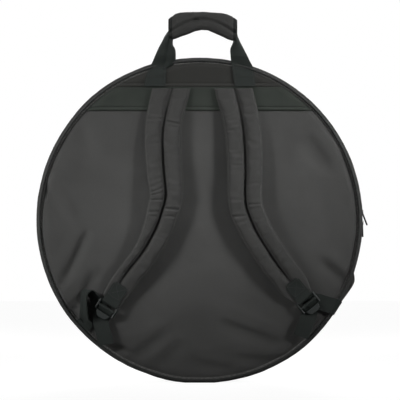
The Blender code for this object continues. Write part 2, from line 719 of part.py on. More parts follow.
class Strap:
    """One shoulder strap's centre line, width, height off the panel and directions."""

    def __init__(self, side):
        self.side = side
        path = LEFT_STRAP_SHARES if side == "left" else RIGHT_STRAP_SHARES
        widths = LEFT_WIDTH_SHARES if side == "left" else RIGHT_WIDTH_SHARES
        line = smooth_values(path, STRAP_STATIONS)
        self.centres = [Vector((p[0] * RADIUS, 0.0, CENTRE_Z + p[1] * STRAP_TOP)) for p in line]
        self.widths = [v * STRAP_WIDTH for v in smooth_values(widths, STRAP_STATIONS)]
        self.heights = [v * STRAP_STANDOFF for v in smooth_values(STANDOFF_SHARES, STRAP_STATIONS)]
        self.thick = [v * STRAP_THICK for v in smooth_values(THICKNESS_SHARES, STRAP_STATIONS)]
        self.tangents = []
        for k in range(STRAP_STATIONS):
            ahead = self.centres[min(k + 1, STRAP_STATIONS - 1)]
            behind = self.centres[max(k - 1, 0)]
            self.tangents.append((ahead - behind).normalized())
        self.tangents[0] = Vector((0.0, 0.0, -1.0))

    def across(self, k):
        t = self.tangents[k]
        return Vector((-t.z, 0.0, t.x))

    def back_y(self, k):
        return SEWN_FACE - self.heights[k]

    def point(self, k, side_way, height):
        """A point at a station, some way across the strap and some height off its back."""
        middle = self.centres[k] + self.across(k) * side_way
        return Vector((middle.x, self.back_y(k) - height, middle.z))

    def pivot(self):
        return (self.centres[0].x, SEWN_FACE, self.centres[0].z)


def make_strap(strap, finishes):
    """A padded strap with two lobes and a sewn channel, and the tape bound round its edge."""
    loops = []
    for k in range(STRAP_STATIONS):
        inner = strap.widths[k] - 2 * (BINDING_WIDTH + FIT_GAP)
        thick = strap.thick[k]
        flatness = 1.0 - thick / STRAP_THICK
        loop = []
        for place, (u, v) in enumerate(STRAP_SECTION_SHARES):
            if place == STRAP_CHANNEL_POINT:
                v += (1.0 - v) * flatness
            loop.append(strap.point(k, u * inner, v * thick))
        loops.append(loop)
    loft(f"strap_pad_{strap.side}", loops, finishes["strap"], pivot=strap.pivot())
    bind = []
    for sign, order in ((-1.0, range(STRAP_STATIONS)), (1.0, range(STRAP_STATIONS - 1, -1, -1))):
        for k in order:
            thick = min(BINDING_THICK, strap.thick[k])
            outer = strap.widths[k] / 2
            spots = (
                (outer - BINDING_WIDTH, 0.0), (outer, 0.0), (outer, thick), (outer - BINDING_WIDTH, thick)
            )
            drop = strap.tangents[k] * (BINDING_WIDTH + FIT_GAP) if k == STRAP_STATIONS - 1 else Vector()
            near = strap.tangents[k] * FIT_GAP if k == STRAP_STATIONS - 1 else Vector()
            shifts = (near, drop, drop, near)
            bind.append([strap.point(k, sign * w, h) + s for (w, h), s in zip(spots, shifts)])
    loft(f"strap_edge_tape_{strap.side}", bind, finishes["trim"], pivot=strap.pivot())


def lock_frame(strap):
    """The buckle's place: the middle of its top bar, along the strap, out of the bag and across."""
    last = STRAP_STATIONS - 1
    down = strap.tangents[last]
    out = Vector((0.0, -1.0, 0.0))
    start = strap.point(last, 0.0, strap.thick[last] / 2)
    start += down * (BINDING_WIDTH + 2 * WEBBING_THICK + 3 * FIT_GAP + LOCK_BAR / 2)
    return start, down, out, strap.across(last)


def make_strap_tab(strap, finishes):
    """The webbing tab sewn on the strap's end, folded round the buckle's top bar."""
    start, down, out, across = lock_frame(strap)
    last = STRAP_STATIONS - 1
    half = LOCK_BAR / 2 + FIT_GAP
    outer = half + WEBBING_THICK
    half_tab = LOCK_WIDTH / 2 - LOCK_RAIL - TAB_SIDE_PLAY
    face = []
    for k in (last - 2, last - 1, last):
        spot = strap.point(k, 0.0, strap.thick[k]) - start
        face.append((spot.dot(down), spot.dot(out) + 2 * FIT_GAP))
    outline = [(s, rise + WEBBING_THICK) for s, rise in face]
    outline += [
        (-half, outer), (half, outer), (outer, half),
        (outer, -half), (half, -outer), (-half, -outer),
        (-half, -half), (half, -half), (half, half), (-half, half),
    ]
    outline += reversed(face)
    extrude(f"strap_end_tab_{strap.side}", outline, start, down, out, across,
            -half_tab, half_tab, finishes["webbing"], pivot=strap.pivot())


def make_lock(strap, finishes):
    """A ladder lock: two rails, a top bar, a middle bar and a wide tongue."""
    start, down, out, across = lock_frame(strap)
    window = (LOCK_LENGTH - 3 * LOCK_BAR) / 3
    half_w = LOCK_WIDTH / 2
    lines = (
        (-LOCK_TOP_BAR / 2, LOCK_TOP_BAR / 2, LOCK_BAR / 2 + window, 1.5 * LOCK_BAR + window,
         1.5 * LOCK_BAR + 2 * window, LOCK_LENGTH - 1.5 * LOCK_BAR, LOCK_LENGTH - LOCK_BAR / 2),
        (-half_w, LOCK_RAIL - half_w, -half_w / 3, half_w / 3, half_w - LOCK_RAIL, half_w),
        (-LOCK_THICK / 2, LOCK_THICK / 2),
    )

    def filled(i, j, k):
        return j in (0, 4) or i not in (1, 3)

    def place(s, w, t):
        narrow = 1.0
        if s > LOCK_LENGTH - LOCK_BAR:
            narrow = TONGUE_SHARES[0]
        elif s > LOCK_LENGTH - 2 * LOCK_BAR:
            narrow = TONGUE_SHARES[1]
        thin = LOCK_TOP_BAR / LOCK_THICK if s < LOCK_BAR else 1.0
        return start + down * s + across * (w * narrow) + out * (t * thin)

    cells(f"ladder_lock_{strap.side}", lines, filled, place, finishes["plastic"], pivot=start)


def ribbon(name, places, width, thick, material, pivot=(0.0, 0.0, 0.0)):
    """Webbing through places, each with its centre and the direction of its width."""
    loops = []
    for k, (centre, wide) in enumerate(places):
        ahead, behind = places[min(k + 1, len(places) - 1)][0], places[max(k - 1, 0)][0]
        run = (ahead - behind).normalized()
        wide = (wide - run * wide.dot(run)).normalized() * (width / 2)
        lift = run.cross(wide).normalized() * (thick / 2)
        near, far = centre - wide, centre + wide
        loops.append([near - lift, far - lift, far + lift, near + lift])
    return loft(name, loops, material, pivot=pivot)


# Where the lower webbing meets the rim, and where the right one's wing lies, in degrees
LOWER_CROSSING_DEG = {"left": 222.0, "right": -32.5}
CROSSES_RIM = {"left": False, "right": True}
WING_START_DEG = -19.4
WING_END_DEG = -29.2
WING_RISE = 0.0058


def lower_route(strap):
    """The lower webbing to behind the buckle: the left from the seam, the right over the rim."""
    angle = LOWER_CROSSING_DEG[strap.side]
    outward, along = rim_frame(angle)
    centre = Vector((0.0, 0.0, CENTRE_Z))
    start, down, out, across = lock_frame(strap)
    lift = WEBBING_THICK / 2 + FIT_GAP
    clear = SEWN_FACE - lift
    wall = RADIUS + lift + FIT_GAP
    target = start + down * (LOCK_LENGTH * WEBBING_UNDER_LOCK_SHARE)
    target.y = start.y + LOCK_THICK / 2 + 3 * WEBBING_THICK
    rim = centre + outward * (PANEL_RADIUS - PIPING_WIDTH)
    places = [
        (centre + outward * wall + Vector((0.0, -WEBBING_THICK * 6, 0.0)), along),
        (centre + outward * wall + Vector((0.0, -GUSSET_EDGE_Y + RIM_EDGE_CHAMFER, 0.0)), along),
        (centre + outward * (wall - RIM_EDGE_CHAMFER / 2) + Vector((0.0, BACK_FACE - lift, 0.0)), along),
        (centre + outward * (PIPING_RADIUS) + Vector((0.0, clear - 2 * lift, 0.0)), along),
        (Vector((rim.x, clear - 2 * lift, rim.z)), along),
    ]
    if not CROSSES_RIM[strap.side]:
        places = [(Vector((rim.x, BACK_FACE - lift, rim.z)), along)]
    last = places[-1][0]
    for share in (0.35, 0.7, 1.0):
        spot = last.lerp(target, share)
        wide = along.lerp(across if along.dot(across) > 0 else -across, share)
        places.append((spot, wide))
    return places


def make_lower_webbing(strap, finishes):
    """The adjusting webbing below each strap and the tail that hangs out of the buckle."""
    places = lower_route(strap)
    ribbon(f"lower_webbing_{strap.side}", places, LOWER_WEBBING_WIDTH, WEBBING_THICK,
           finishes["webbing"], pivot=strap.pivot())
    start, down, out, across = lock_frame(strap)
    head = start + down * (LOCK_LENGTH * TAIL_ANCHOR_SHARE) + out * (LOCK_THICK / 2 + WEBBING_THICK)
    over = start + down * (LOCK_LENGTH + WEBBING_THICK) + out * (LOCK_THICK / 2 + WEBBING_THICK)
    hang = Vector((TAIL_LEAN_SHARES[strap.side], 0.0, -1.0)).normalized()
    lower = over + hang * (TAIL_LENGTH / 2)
    tip = over + hang * TAIL_LENGTH
    lower.y = over.y + WEBBING_THICK
    tip.y = over.y + 2 * WEBBING_THICK
    level = Vector((-hang.z, 0.0, hang.x))
    if level.dot(across) < 0:
        level = -level
    tail = [(head, across), (over, across.lerp(level, 0.4)), (over + hang * (TAIL_LENGTH / 5), level),
            (lower, level), (tip, level)]
    ribbon(f"webbing_tail_{strap.side}", tail, LOWER_WEBBING_WIDTH, WEBBING_THICK,
           finishes["webbing"], pivot=over)


def make_wing(finishes):
    """The folded cloth wing on the side wall, next to where the right webbing is sewn."""
    base = RADIUS + FIT_GAP
    loops = []
    for k, share in enumerate(WING_RISE_SHARES):
        part = k / (len(WING_RISE_SHARES) - 1)
        turn = math.radians(WING_START_DEG + (WING_END_DEG - WING_START_DEG) * part)
        top = base + WING_THIN + WING_RISE * share
        low_y = -GUSSET_EDGE_Y + RIM_EDGE_CHAMFER
        high_y = low_y + WING_DEPTH * (WING_START_DEPTH_SHARE + (1.0 - WING_START_DEPTH_SHARE) * part)
        section = ((low_y, base), (low_y, base + WING_THIN), (low_y + WING_THIN, top),
                   (high_y - WING_THIN, top), (high_y, base + WING_THIN), (high_y, base))
        loops.append([rim_point(r, turn, y) for y, r in section])
    loft("strap_wing_right", loops, finishes["shell"])


def build_bag():
    """All the pieces of the bag, at rest with the zip closed."""
    clear_scene()
    finishes = make_finishes()
    make_panels(finishes)
    make_piping(finishes)
    make_side_wall(finishes)
    make_hinge_strip(finishes)
    make_zip(finishes)
    make_slider("zip_slider_upper", UPPER_SLIDER_DEG, finishes)
    make_slider("zip_slider_lower", LOWER_SLIDER_DEG, finishes)
    make_pull("zip_pull_upper", UPPER_SLIDER_DEG, UPPER_PULL_OUT_DEG, finishes)
    make_pull("zip_pull_lower", LOWER_SLIDER_DEG, LOWER_PULL_OUT_DEG, finishes)
    make_overlays(finishes)
    make_handle(finishes)
    for side in ("left", "right"):
        strap = Strap(side)
        make_strap(strap, finishes)
        make_strap_tab(strap, finishes)
        make_lock(strap, finishes)
        make_lower_webbing(strap, finishes)
    make_wing(finishes)


build_bag()
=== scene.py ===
# %% [markdown]
# # A round padded cymbal bag
# The bag is black polyester cloth over foam: two round panels, a side wall with a two-way
# zip, two shoulder straps, a carry handle and the webbing that adjusts the straps.
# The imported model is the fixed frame. Its hard pieces are rounded or drawn finer where they
# stand, and each soft solid is replaced here by a cloth piece that lies in the same place.

# %% Load the frame
import json
import math

import bmesh
import bpy
import numpy as np
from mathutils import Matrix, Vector, noise

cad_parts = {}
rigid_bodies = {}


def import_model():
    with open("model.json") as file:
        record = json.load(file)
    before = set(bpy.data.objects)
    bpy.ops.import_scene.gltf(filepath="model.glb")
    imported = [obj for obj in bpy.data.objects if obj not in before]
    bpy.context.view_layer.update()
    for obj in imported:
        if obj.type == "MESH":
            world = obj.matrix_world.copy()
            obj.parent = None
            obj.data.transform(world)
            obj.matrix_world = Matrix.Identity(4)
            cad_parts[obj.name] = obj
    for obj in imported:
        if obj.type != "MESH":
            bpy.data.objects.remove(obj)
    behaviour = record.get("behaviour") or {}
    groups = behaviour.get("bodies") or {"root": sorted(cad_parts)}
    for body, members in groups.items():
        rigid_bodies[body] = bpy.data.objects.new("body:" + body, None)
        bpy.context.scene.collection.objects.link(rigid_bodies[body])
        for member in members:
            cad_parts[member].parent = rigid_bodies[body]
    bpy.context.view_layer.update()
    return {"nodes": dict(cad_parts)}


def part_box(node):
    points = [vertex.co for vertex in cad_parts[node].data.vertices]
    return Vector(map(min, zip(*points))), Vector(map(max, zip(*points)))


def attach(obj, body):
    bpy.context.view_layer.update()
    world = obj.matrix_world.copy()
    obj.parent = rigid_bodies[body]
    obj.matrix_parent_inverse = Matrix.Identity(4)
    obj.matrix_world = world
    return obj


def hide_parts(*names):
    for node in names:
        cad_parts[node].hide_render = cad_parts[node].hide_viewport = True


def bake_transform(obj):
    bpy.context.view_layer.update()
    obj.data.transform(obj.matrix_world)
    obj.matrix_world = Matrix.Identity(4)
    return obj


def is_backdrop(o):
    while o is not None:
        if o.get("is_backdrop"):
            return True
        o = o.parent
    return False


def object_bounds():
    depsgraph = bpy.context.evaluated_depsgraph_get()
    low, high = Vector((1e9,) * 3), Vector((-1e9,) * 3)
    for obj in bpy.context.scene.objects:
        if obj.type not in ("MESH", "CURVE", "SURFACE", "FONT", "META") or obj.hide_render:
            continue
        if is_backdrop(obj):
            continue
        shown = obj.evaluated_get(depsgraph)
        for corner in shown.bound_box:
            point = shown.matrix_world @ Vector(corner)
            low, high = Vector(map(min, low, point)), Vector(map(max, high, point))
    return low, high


for leftover in list(bpy.data.objects):
    bpy.data.objects.remove(leftover, do_unlink=True)
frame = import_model()

# %% [markdown]
# ## Sizes from the frame
# A cloth piece has to fit the solid that it stands for, so the main sizes are read from the
# boxes of the nodes. The small ones, such as a seam's depth, are named values in metres.

# %% Main sizes
MM = 0.001
panel_low, panel_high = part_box("back_panel_cloth")
wall_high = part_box("side_wall_cloth")[1]
piping_low, piping_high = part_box("back_piping")
RADIUS = wall_high[0] + 0.1 * MM
CENTRE_Z = wall_high[2] - RADIUS
PANEL_RADIUS = panel_high[2] - CENTRE_Z
BACK_FACE = panel_low[1]
FRONT_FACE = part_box("front_panel_cloth")[1][1]
CLOTH = panel_high[1] - panel_low[1]
PIPING_WIDTH = piping_high[1] - piping_low[1]
PIPING_RADIUS = piping_high[0] - PIPING_WIDTH / 2
PIPING_Y = -(piping_low[1] + piping_high[1]) / 2
print(f"centre {CENTRE_Z:.4f}, radius {RADIUS:.4f}, panel {PANEL_RADIUS:.4f}, face {BACK_FACE:.4f}")

# %% [markdown]
# ## Camera
# The photograph looks square at the back panel from far away, so a long lens stands three
# metres off. The photograph is 400 pixels wide, and a pixel is 1.804 mm on the panel, which
# gives the lens. The floor, the sky and the lamps come last, when the bag is there to light.

# %% Camera
IMAGE_PIXELS = 400
PIXEL = 1.804 * MM
CIRCLE_CENTRE_PX = (199.5, 220.4)
CAMERA_DISTANCE = 3.0
SENSOR = 36.0


def add_object(name, data):
    """A new object of the scene for a mesh, a lamp or a camera."""
    made = bpy.data.objects.new(name, data)
    bpy.context.scene.collection.objects.link(made)
    return made


def add_camera():
    lens = bpy.data.cameras.new("camera")
    lens.sensor_width = SENSOR
    lens.lens = SENSOR * CAMERA_DISTANCE / (IMAGE_PIXELS * PIXEL)
    camera = add_object("camera", lens)
    middle = IMAGE_PIXELS / 2
    camera.location = (
        (middle - CIRCLE_CENTRE_PX[0]) * PIXEL,
        BACK_FACE - CAMERA_DISTANCE,
        CENTRE_Z + (CIRCLE_CENTRE_PX[1] - middle) * PIXEL,
    )
    camera.rotation_euler = (math.radians(90.0), 0.0, 0.0)
    bpy.context.scene.camera = camera
    print("camera lens", round(lens.lens, 1), "mm at", [round(v, 3) for v in camera.location])


add_camera()
bpy.context.scene.view_settings.view_transform = "Standard"

# %% [markdown]
# ## Shader maths as Python
# A finish is easier to read as a sum than as a drawing of nodes. A `Wire` stands for a
# socket, and Python's operators on it add Math nodes. Every other node comes from
# `Tree.node`, which takes the node's type, its settings and the values of its sockets.

# %% Wires and finishes
class Wire:
    """One output socket of a tree; arithmetic on it adds Math nodes."""

    def __init__(self, tree, socket):
        self.tree = tree
        self.socket = socket

    def maths(self, operation, first, second=None):
        inputs = {0: first} if second is None else {0: first, 1: second}
        return self.tree.node("ShaderNodeMath", {"operation": operation}, inputs)

    def __add__(self, other):
        return self.maths("ADD", self, other)

    def __radd__(self, other):
        return self.maths("ADD", other, self)

    def __sub__(self, other):
        return self.maths("SUBTRACT", self, other)

    def __rsub__(self, other):
        return self.maths("SUBTRACT", other, self)

    def __mul__(self, other):
        return self.maths("MULTIPLY", self, other)

    def __gt__(self, other):
        return self.maths("GREATER_THAN", self, other)

    def __or__(self, other):
        return self.maths("MAXIMUM", self, other)

    def sine(self):
        return self.maths("SINE", self)

    def size(self):
        return self.maths("ABSOLUTE", self)

    def limited(self):
        return self.maths("MINIMUM", self | 0.0, 1.0)


class Tree:
    """The node tree of a material or of the sky."""

    def __init__(self, owner):
        owner.use_nodes = True
        self.nodes = owner.node_tree.nodes
        self.links = owner.node_tree.links

    def feed(self, socket, value):
        if isinstance(value, Wire):
            self.links.new(value.socket, socket)
        else:
            socket.default_value = value

    def node(self, kind, settings, inputs, output=0):
        """A node with its settings and what feeds it, as the wire that leaves it."""
        made = self.nodes.new(kind)
        for key, value in settings.items():
            setattr(made, key, value)
        for key, value in inputs.items():
            self.feed(made.inputs[key], value)
        return Wire(self, made.outputs[output])


class Finish(Tree):
    """A material whose Principled shader takes fixed values and wires."""

    def __init__(self, name, **fixed):
        self.material = bpy.data.materials.new(name)
        super().__init__(self.material)
        self.shader = self.nodes["Principled BSDF"]
        for key, value in fixed.items():
            title = key.replace("_", " ").title().replace("Ior", "IOR")
            self.shader.inputs[title].default_value = value

    def place(self):
        """Where a point lies on the bag, in metres."""
        return self.node("ShaderNodeTexCoord", {}, {}, "Object")

    def cloth(self):
        """The two directions of the cloth, across and along, in metres."""
        lay = self.node("ShaderNodeAttribute", {"attribute_name": "lay"}, {}, "Vector")
        across = self.node("ShaderNodeSeparateXYZ", {}, {"Vector": lay}, "X")
        along = self.node("ShaderNodeSeparateXYZ", {}, {"Vector": lay}, "Y")
        return lay, across, along

    def noise(self, where, size, detail=3.0, rough=0.55):
        inputs = {"Vector": where, "Scale": 1.0 / size, "Detail": detail, "Roughness": rough}
        return self.node("ShaderNodeTexNoise", {}, inputs, "Fac")

    def tones(self, wire, colour, low, high):
        """A colour made darker and lighter; low and high are pairs of place and share."""
        ramp = self.node("ShaderNodeValToRGB", {}, {"Fac": wire}, "Color")
        stops = ramp.socket.node.color_ramp.elements
        for stop, (place, share) in zip(stops, (low, high)):
            stop.position = place
            stop.color = (*shade(colour, share), 1.0)
        return ramp

    def mix(self, share, first, second):
        made = self.node("ShaderNodeMix", {"data_type": "RGBA"}, {"Factor": share}).socket.node
        for socket, value in ((made.inputs[6], first), (made.inputs[7], second)):
            self.feed(socket, value if isinstance(value, Wire) else (*value, 1.0))
        return Wire(self, made.outputs[2])

    def dress(self, height, depth, **wires):
        """Give the shader a bump and other wires, and hand back the material."""
        bump = {"Height": height, "Strength": 1.0, "Distance": depth}
        wires["normal"] = self.node("ShaderNodeBump", {}, bump, "Normal")
        for key, wire in wires.items():
            self.feed(self.shader.inputs[key.replace("_", " ").title()], wire)
        return self.material


print("shader maths ready")

# %% [markdown]
# ## Woven finishes
# All the cloth is plain woven polyester. A weave is two sets of round threads that take
# turns on top, so its height is the larger set's sine wherever that set is on top. The
# weave sets the bump, and painted shade darkens the gaps between its threads, mixed with
# random slub; slow noise gives the patches that cloth gets from folds and handling.

# %% Cloth
SHELL_THREAD = 0.75 * MM
STRAP_THREAD = 0.60 * MM
LINING_THREAD = 0.45 * MM


def srgb(red, green, blue):
    """A colour as a picture gives it, in the linear values that a shader takes."""
    return tuple((v / 255.0) ** 2.2 for v in (red, green, blue))


def shade(colour, share):
    return tuple(v * share for v in colour)


def threads(wire, width):
    """The height of round threads that lie side by side across a wire."""
    return (wire * (math.pi / width)).sine()


def woven(name, colour, thread, rough, patch=0.10, patch_size=0.09):
    finish = Finish(name, specular_ior_level=0.10, sheen_weight=0.04, sheen_roughness=0.5)
    lay, across, along = finish.cloth()
    warp, weft = threads(across, thread), threads(along, thread)
    over = (warp * weft) > 0.0
    height = over * warp.size() + (1.0 - over) * weft.size()
    patches = finish.noise(finish.place(), patch_size, detail=4.0)
    slub = finish.noise(lay, thread * 3.0, detail=2.0)
    tone = finish.tones(patches, colour, (0.3, 1.0 - patch), (0.7, 1.0 + patch))
    # painted shade: the colour goes towards 0.45 of itself in the gaps between threads, where the
    # height is low, with random slub mixed in
    gaps = (height * 0.35 + slub * 0.30 + 0.50).limited()
    return finish.dress(height + slub * 0.6, thread * 0.35,
                        base_color=finish.mix(gaps, shade(colour, 0.45), tone),
                        roughness=rough + patches * 0.12 - height * 0.08)


SHELL_COLOUR = srgb(76, 76, 75)
shell_cloth = woven("shell cloth", SHELL_COLOUR, SHELL_THREAD, 0.62)
yoke_cloth = woven("yoke cloth", srgb(55, 55, 53), SHELL_THREAD, 0.66)
strap_cloth = woven("strap cloth", srgb(68, 68, 67), STRAP_THREAD, 0.66, 0.07, 0.05)
# painted shade: the side wall, its strips and the anchor wing are the shell's own cloth, darkened
# to 0.62 of its colour for the shade that lies on them
wall_cloth = woven("side wall cloth", shade(SHELL_COLOUR, 0.62), SHELL_THREAD, 0.66)
lining_cloth = woven("lining cloth", srgb(62, 62, 66), LINING_THREAD, 0.5, patch=0.06)
print("woven cloth:", len(bpy.data.materials), "finishes")

# %% [markdown]
# ## Webbing, tape and trim
# Webbing is a heavy narrow weave with ribs across it, with a faint green cast in the black.
# The piping is a cord in a folded strip, so it shows fine ribs round it.

# %% Narrow fabrics
RIB = 1.9 * MM
TAPE_RIB = 1.1 * MM


def ribbed(name, colour, rib, rough):
    finish = Finish(name, specular_ior_level=0.13, sheen_weight=0.03, sheen_roughness=0.4)
    lay, across, along = finish.cloth()
    ribs = threads(along, rib).size()
    height = ribs * 0.65 + threads(across + along * 0.35, rib * 0.42).size() * 0.35
    wear = finish.noise(finish.place(), 0.02)
    fuzz = finish.noise(lay, rib * 0.6, detail=2.0)
    tone = finish.tones(wear, colour, (0.3, 0.92), (0.72, 1.08))
    # painted shade: the colour goes towards 0.4 of itself between the ribs, where the height is
    # low, with random fuzz mixed in
    gaps = (height * 0.5 + fuzz * 0.3 + 0.25).limited()
    return finish.dress(height + fuzz * 0.4, rib * 0.22,
                        base_color=finish.mix(gaps, shade(colour, 0.4), tone),
                        roughness=rough + fuzz * 0.15 - ribs * 0.08)


webbing_weave = ribbed("webbing weave", srgb(44, 48, 46), RIB, 0.55)
band_weave = ribbed("band weave", srgb(56, 60, 56), RIB, 0.6)
edge_tape = ribbed("edge tape", srgb(76, 77, 75), TAPE_RIB, 0.6)
piping_cloth = ribbed("piping cloth", srgb(58, 59, 58), TAPE_RIB, 0.5)
bound_tape = ribbed("bound end tape", srgb(42, 43, 42), TAPE_RIB, 0.6)
seam_tape = ribbed("seam tape", srgb(40, 40, 41), TAPE_RIB, 0.65)
zip_tape = ribbed("zip tape", srgb(38, 38, 39), TAPE_RIB, 0.6)
print("narrow fabrics ready")

# %% [markdown]
# ## Foam, thread, hook and loop
# The foam is open celled, so its surface is a crowd of small pores, darkened as painted shade.
# Thread is twisted, and hook and loop tape is a short rough pile; both have painted shade in their
# hollows and a painted highlight on their tops.

# %% Foam, thread and pile
def cells(finish, count):
    """How far a point is from the nearest of many cells, with count of them in a metre."""
    where = {"Vector": finish.place(), "Scale": count}
    return finish.node("ShaderNodeTexVoronoi", {}, where, "Distance")


def make_foam_finish():
    finish = Finish("open cell foam", specular_ior_level=0.2)
    pores = cells(finish, 420.0)
    colour = srgb(142, 142, 140)
    tone = finish.tones(finish.noise(finish.place(), 0.06), colour, (0.3, 0.85), (0.7, 1.0))
    # painted shade: the colour goes to 0.35 of itself in the pores, where the bump is low
    return finish.dress(1.0 - pores, 0.4 * MM,
                        base_color=finish.mix((pores * 1.7).limited(), tone, shade(colour, 0.35)),
                        roughness=0.9 - pores * 0.1)


def make_thread_finish():
    finish = Finish("sewing thread", specular_ior_level=0.5)
    wave = {"Vector": finish.place(), "Scale": 900.0, "Distortion": 1.5}
    twist = finish.node("ShaderNodeTexWave", {"bands_direction": "DIAGONAL"}, wave, "Fac")
    colour = srgb(38, 38, 38)
    # painted shade and painted highlight: the colour runs from 0.6 of itself in the twist's grooves
    # to 1.3 on its ridges
    return finish.dress(twist, 0.08 * MM, roughness=0.55 - twist * 0.15,
                        base_color=finish.mix(twist, shade(colour, 0.6), shade(colour, 1.3)))


def make_pile_finish():
    finish = Finish("hook and loop", specular_ior_level=0.3)
    loops = cells(finish, 1400.0)
    # painted highlight on the loops' tips, at 1.4 of the colour, and painted shade at their roots,
    # at 0.4
    tip, root = shade(srgb(34, 34, 35), 1.4), shade(srgb(34, 34, 35), 0.4)
    return finish.dress(loops, 0.5 * MM, roughness=0.95 - loops * 0.2,
                        base_color=finish.mix(loops.limited(), tip, root))


foam_cells = make_foam_finish()
thread = make_thread_finish()
pile = make_pile_finish()
print("foam, thread and pile ready")

# %% [markdown]
# ## Moulded plastic and cast metal
# The buckles, the zip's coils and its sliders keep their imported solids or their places, and
# need a hard finish: a spark textured black nylon, and zinc under worn black paint.

# %% Hard finishes
def make_nylon(name, colour, rough, grain):
    finish = Finish(name, specular_ior_level=0.32)
    spark = finish.noise(finish.place(), grain, detail=2.0)
    tone = finish.tones(finish.noise(finish.place(), 0.012), colour, (0.35, 0.8), (0.7, 1.25))
    # painted shade: the colour falls to 0.8 of itself in the spark texture's pits, where the bump
    # is low
    return finish.dress(spark, grain * 0.12, roughness=rough + spark * 0.18,
                        base_color=finish.mix(spark, shade(colour, 0.8), tone))


def make_slider_metal():
    finish = Finish("slider metal", specular_ior_level=0.12)
    chips = finish.noise(finish.place(), 0.0022, detail=5.0, rough=0.7)
    worn = ((chips - 0.57) * 14.0).limited()
    return finish.dress(chips, 0.1 * MM, metallic=worn * 0.25,
                        roughness=0.66 - worn * 0.12 + chips * 0.1,
                        base_color=finish.mix(worn, srgb(28, 28, 29), srgb(62, 62, 62)))


buckle_nylon = make_nylon("buckle nylon", srgb(34, 38, 37), 0.34, 0.5 * MM)
coil_nylon = make_nylon("coil nylon", srgb(30, 30, 31), 0.35, 0.3 * MM)
slider_metal = make_slider_metal()
print("hard finishes ready")

# %% [markdown]
# ## Building meshes
# Every cloth piece is a closed skin through rings of points. A point also keeps where it
# lies in the cloth, in metres across and along, in an attribute named lay, so that threads
# run with the piece and keep their size when it bends.

# %% Skins
PIECES = {}


def smooth_curve(values, count):
    """Values read off a smooth curve through the given ones, evenly along it."""
    rows = np.array(values, dtype=float)
    if rows.ndim == 1:
        rows = rows[:, None]
    last = len(rows) - 1
    at = np.linspace(0.0, last, count)
    i = np.minimum(at.astype(int), last - 1)
    t = (at - i)[:, None]
    p0, p1 = rows[np.maximum(i - 1, 0)], rows[i]
    p2, p3 = rows[i + 1], rows[np.minimum(i + 2, last)]
    square, cube = t * t, t * t * t
    curve = p1 * 2 + (p2 - p0) * t
    curve += (p0 * 2 - p1 * 5 + p2 * 4 - p3) * square
    curve += (p1 * 3 - p0 - p2 * 3 + p3) * cube
    return curve * 0.5


def enter(name, mesh, finish, sharp, body, node):
    """Add a mesh to the bag: it rides a body, or, when given two bodies, rides none and stays where
    it is, in a node's place.
    """
    mesh.materials.clear()
    mesh.materials.append(finish)
    mesh.shade_smooth()
    mesh.set_sharp_from_angle(angle=math.radians(sharp))
    piece = add_object(name, mesh)
    if isinstance(body, tuple):
        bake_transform(piece)
    else:
        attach(piece, body)
    if node:
        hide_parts(node)
    PIECES[name] = piece
    return piece


def make_piece(name, points, faces, lay, finish, body, slot, node=None):
    """A closed piece from points and faces, with its normals turned outward."""
    mesh = bpy.data.meshes.new(name)
    mesh.from_pydata([tuple(p) for p in points], [], faces)
    shape = bmesh.new()
    shape.from_mesh(mesh)
    bmesh.ops.recalc_face_normals(shape, faces=shape.faces)
    if shape.calc_volume(signed=True) < 0:
        bmesh.ops.reverse_faces(shape, faces=shape.faces)
    shape.to_mesh(mesh)
    shape.free()
    spots = np.zeros((len(points), 3))
    spots[:, :2] = np.array(lay)[:, :2]
    attribute = mesh.attributes.new("lay", "FLOAT_VECTOR", "POINT")
    attribute.data.foreach_set("vector", spots.ravel())
    return enter(name, mesh, finish, 50.0, body, node)


def tube_faces(base, rows, size, closed=False):
    """The faces between rows of points, numbered from base, with a cap at each open end."""
    faces = []
    for row in range(rows if closed else rows - 1):
        near, far = base + row * size, base + ((row + 1) % rows) * size
        for k in range(size):
            n = (k + 1) % size
            faces.append((near + k, near + n, far + n, far + k))
    if not closed:
        faces.append(tuple(range(base, base + size)))
        faces.append(tuple(range(base + (rows - 1) * size, base + rows * size)))
    return faces


def skin(rings, closed):
    """Points, faces and lay of a skin through rings of points, capped unless it closes."""
    loops = np.array(rings, dtype=float)
    count, size = loops.shape[:2]
    steps = np.linalg.norm(np.roll(loops, -1, axis=1) - loops, axis=2)
    across = np.concatenate([np.zeros((count, 1)), np.cumsum(steps, axis=1)[:, :-1]], axis=1)
    middles = loops.mean(axis=1)
    run = np.linalg.norm(np.diff(middles, axis=0), axis=1)
    along = np.concatenate([[0.0], np.cumsum(run)])
    lay = np.stack([across, np.repeat(along[:, None], size, axis=1)], axis=2).reshape(-1, 2)
    return loops.reshape(-1, 3), tube_faces(0, count, size, closed), lay


def make_skin(name, rings, finish, body, slot, node=None, closed=False):
    return make_piece(name, *skin(rings, closed), finish, body, slot, node)


print("mesh helpers ready")

# %% [markdown]
# ## The round shell
# Both panels are foam under cloth. The rim isn't a perfect circle: the cloth is sewn by
# hand and leans on its foot. The panels have soft dents where the foam gave way, so every
# layer, and all that is sewn on it, takes its depth from one function, relief.

# %% The shape of the rim
# How far the rim stands off the true round, as angles from +X and millimetres
RIM_SWELL = (
    (0, 0.0), (40, 0.3), (75, -0.5), (92, -0.9), (110, 0.4), (129, 1.6), (150, 0.2), (180, 0.0),
    (210, -0.5), (232, -1.6), (250, -1.8), (262, 0.0), (279, 0.0), (292, 1.2), (308, 2.4),
    (326, 1.0), (345, 0.0), (360, 0.0),
)
RIM_FADE_POWER = 5
# Past this depth the rim is truly round, so that the sliders run along it
ZIP_SIDE_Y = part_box("zip_tape_back")[0][1]


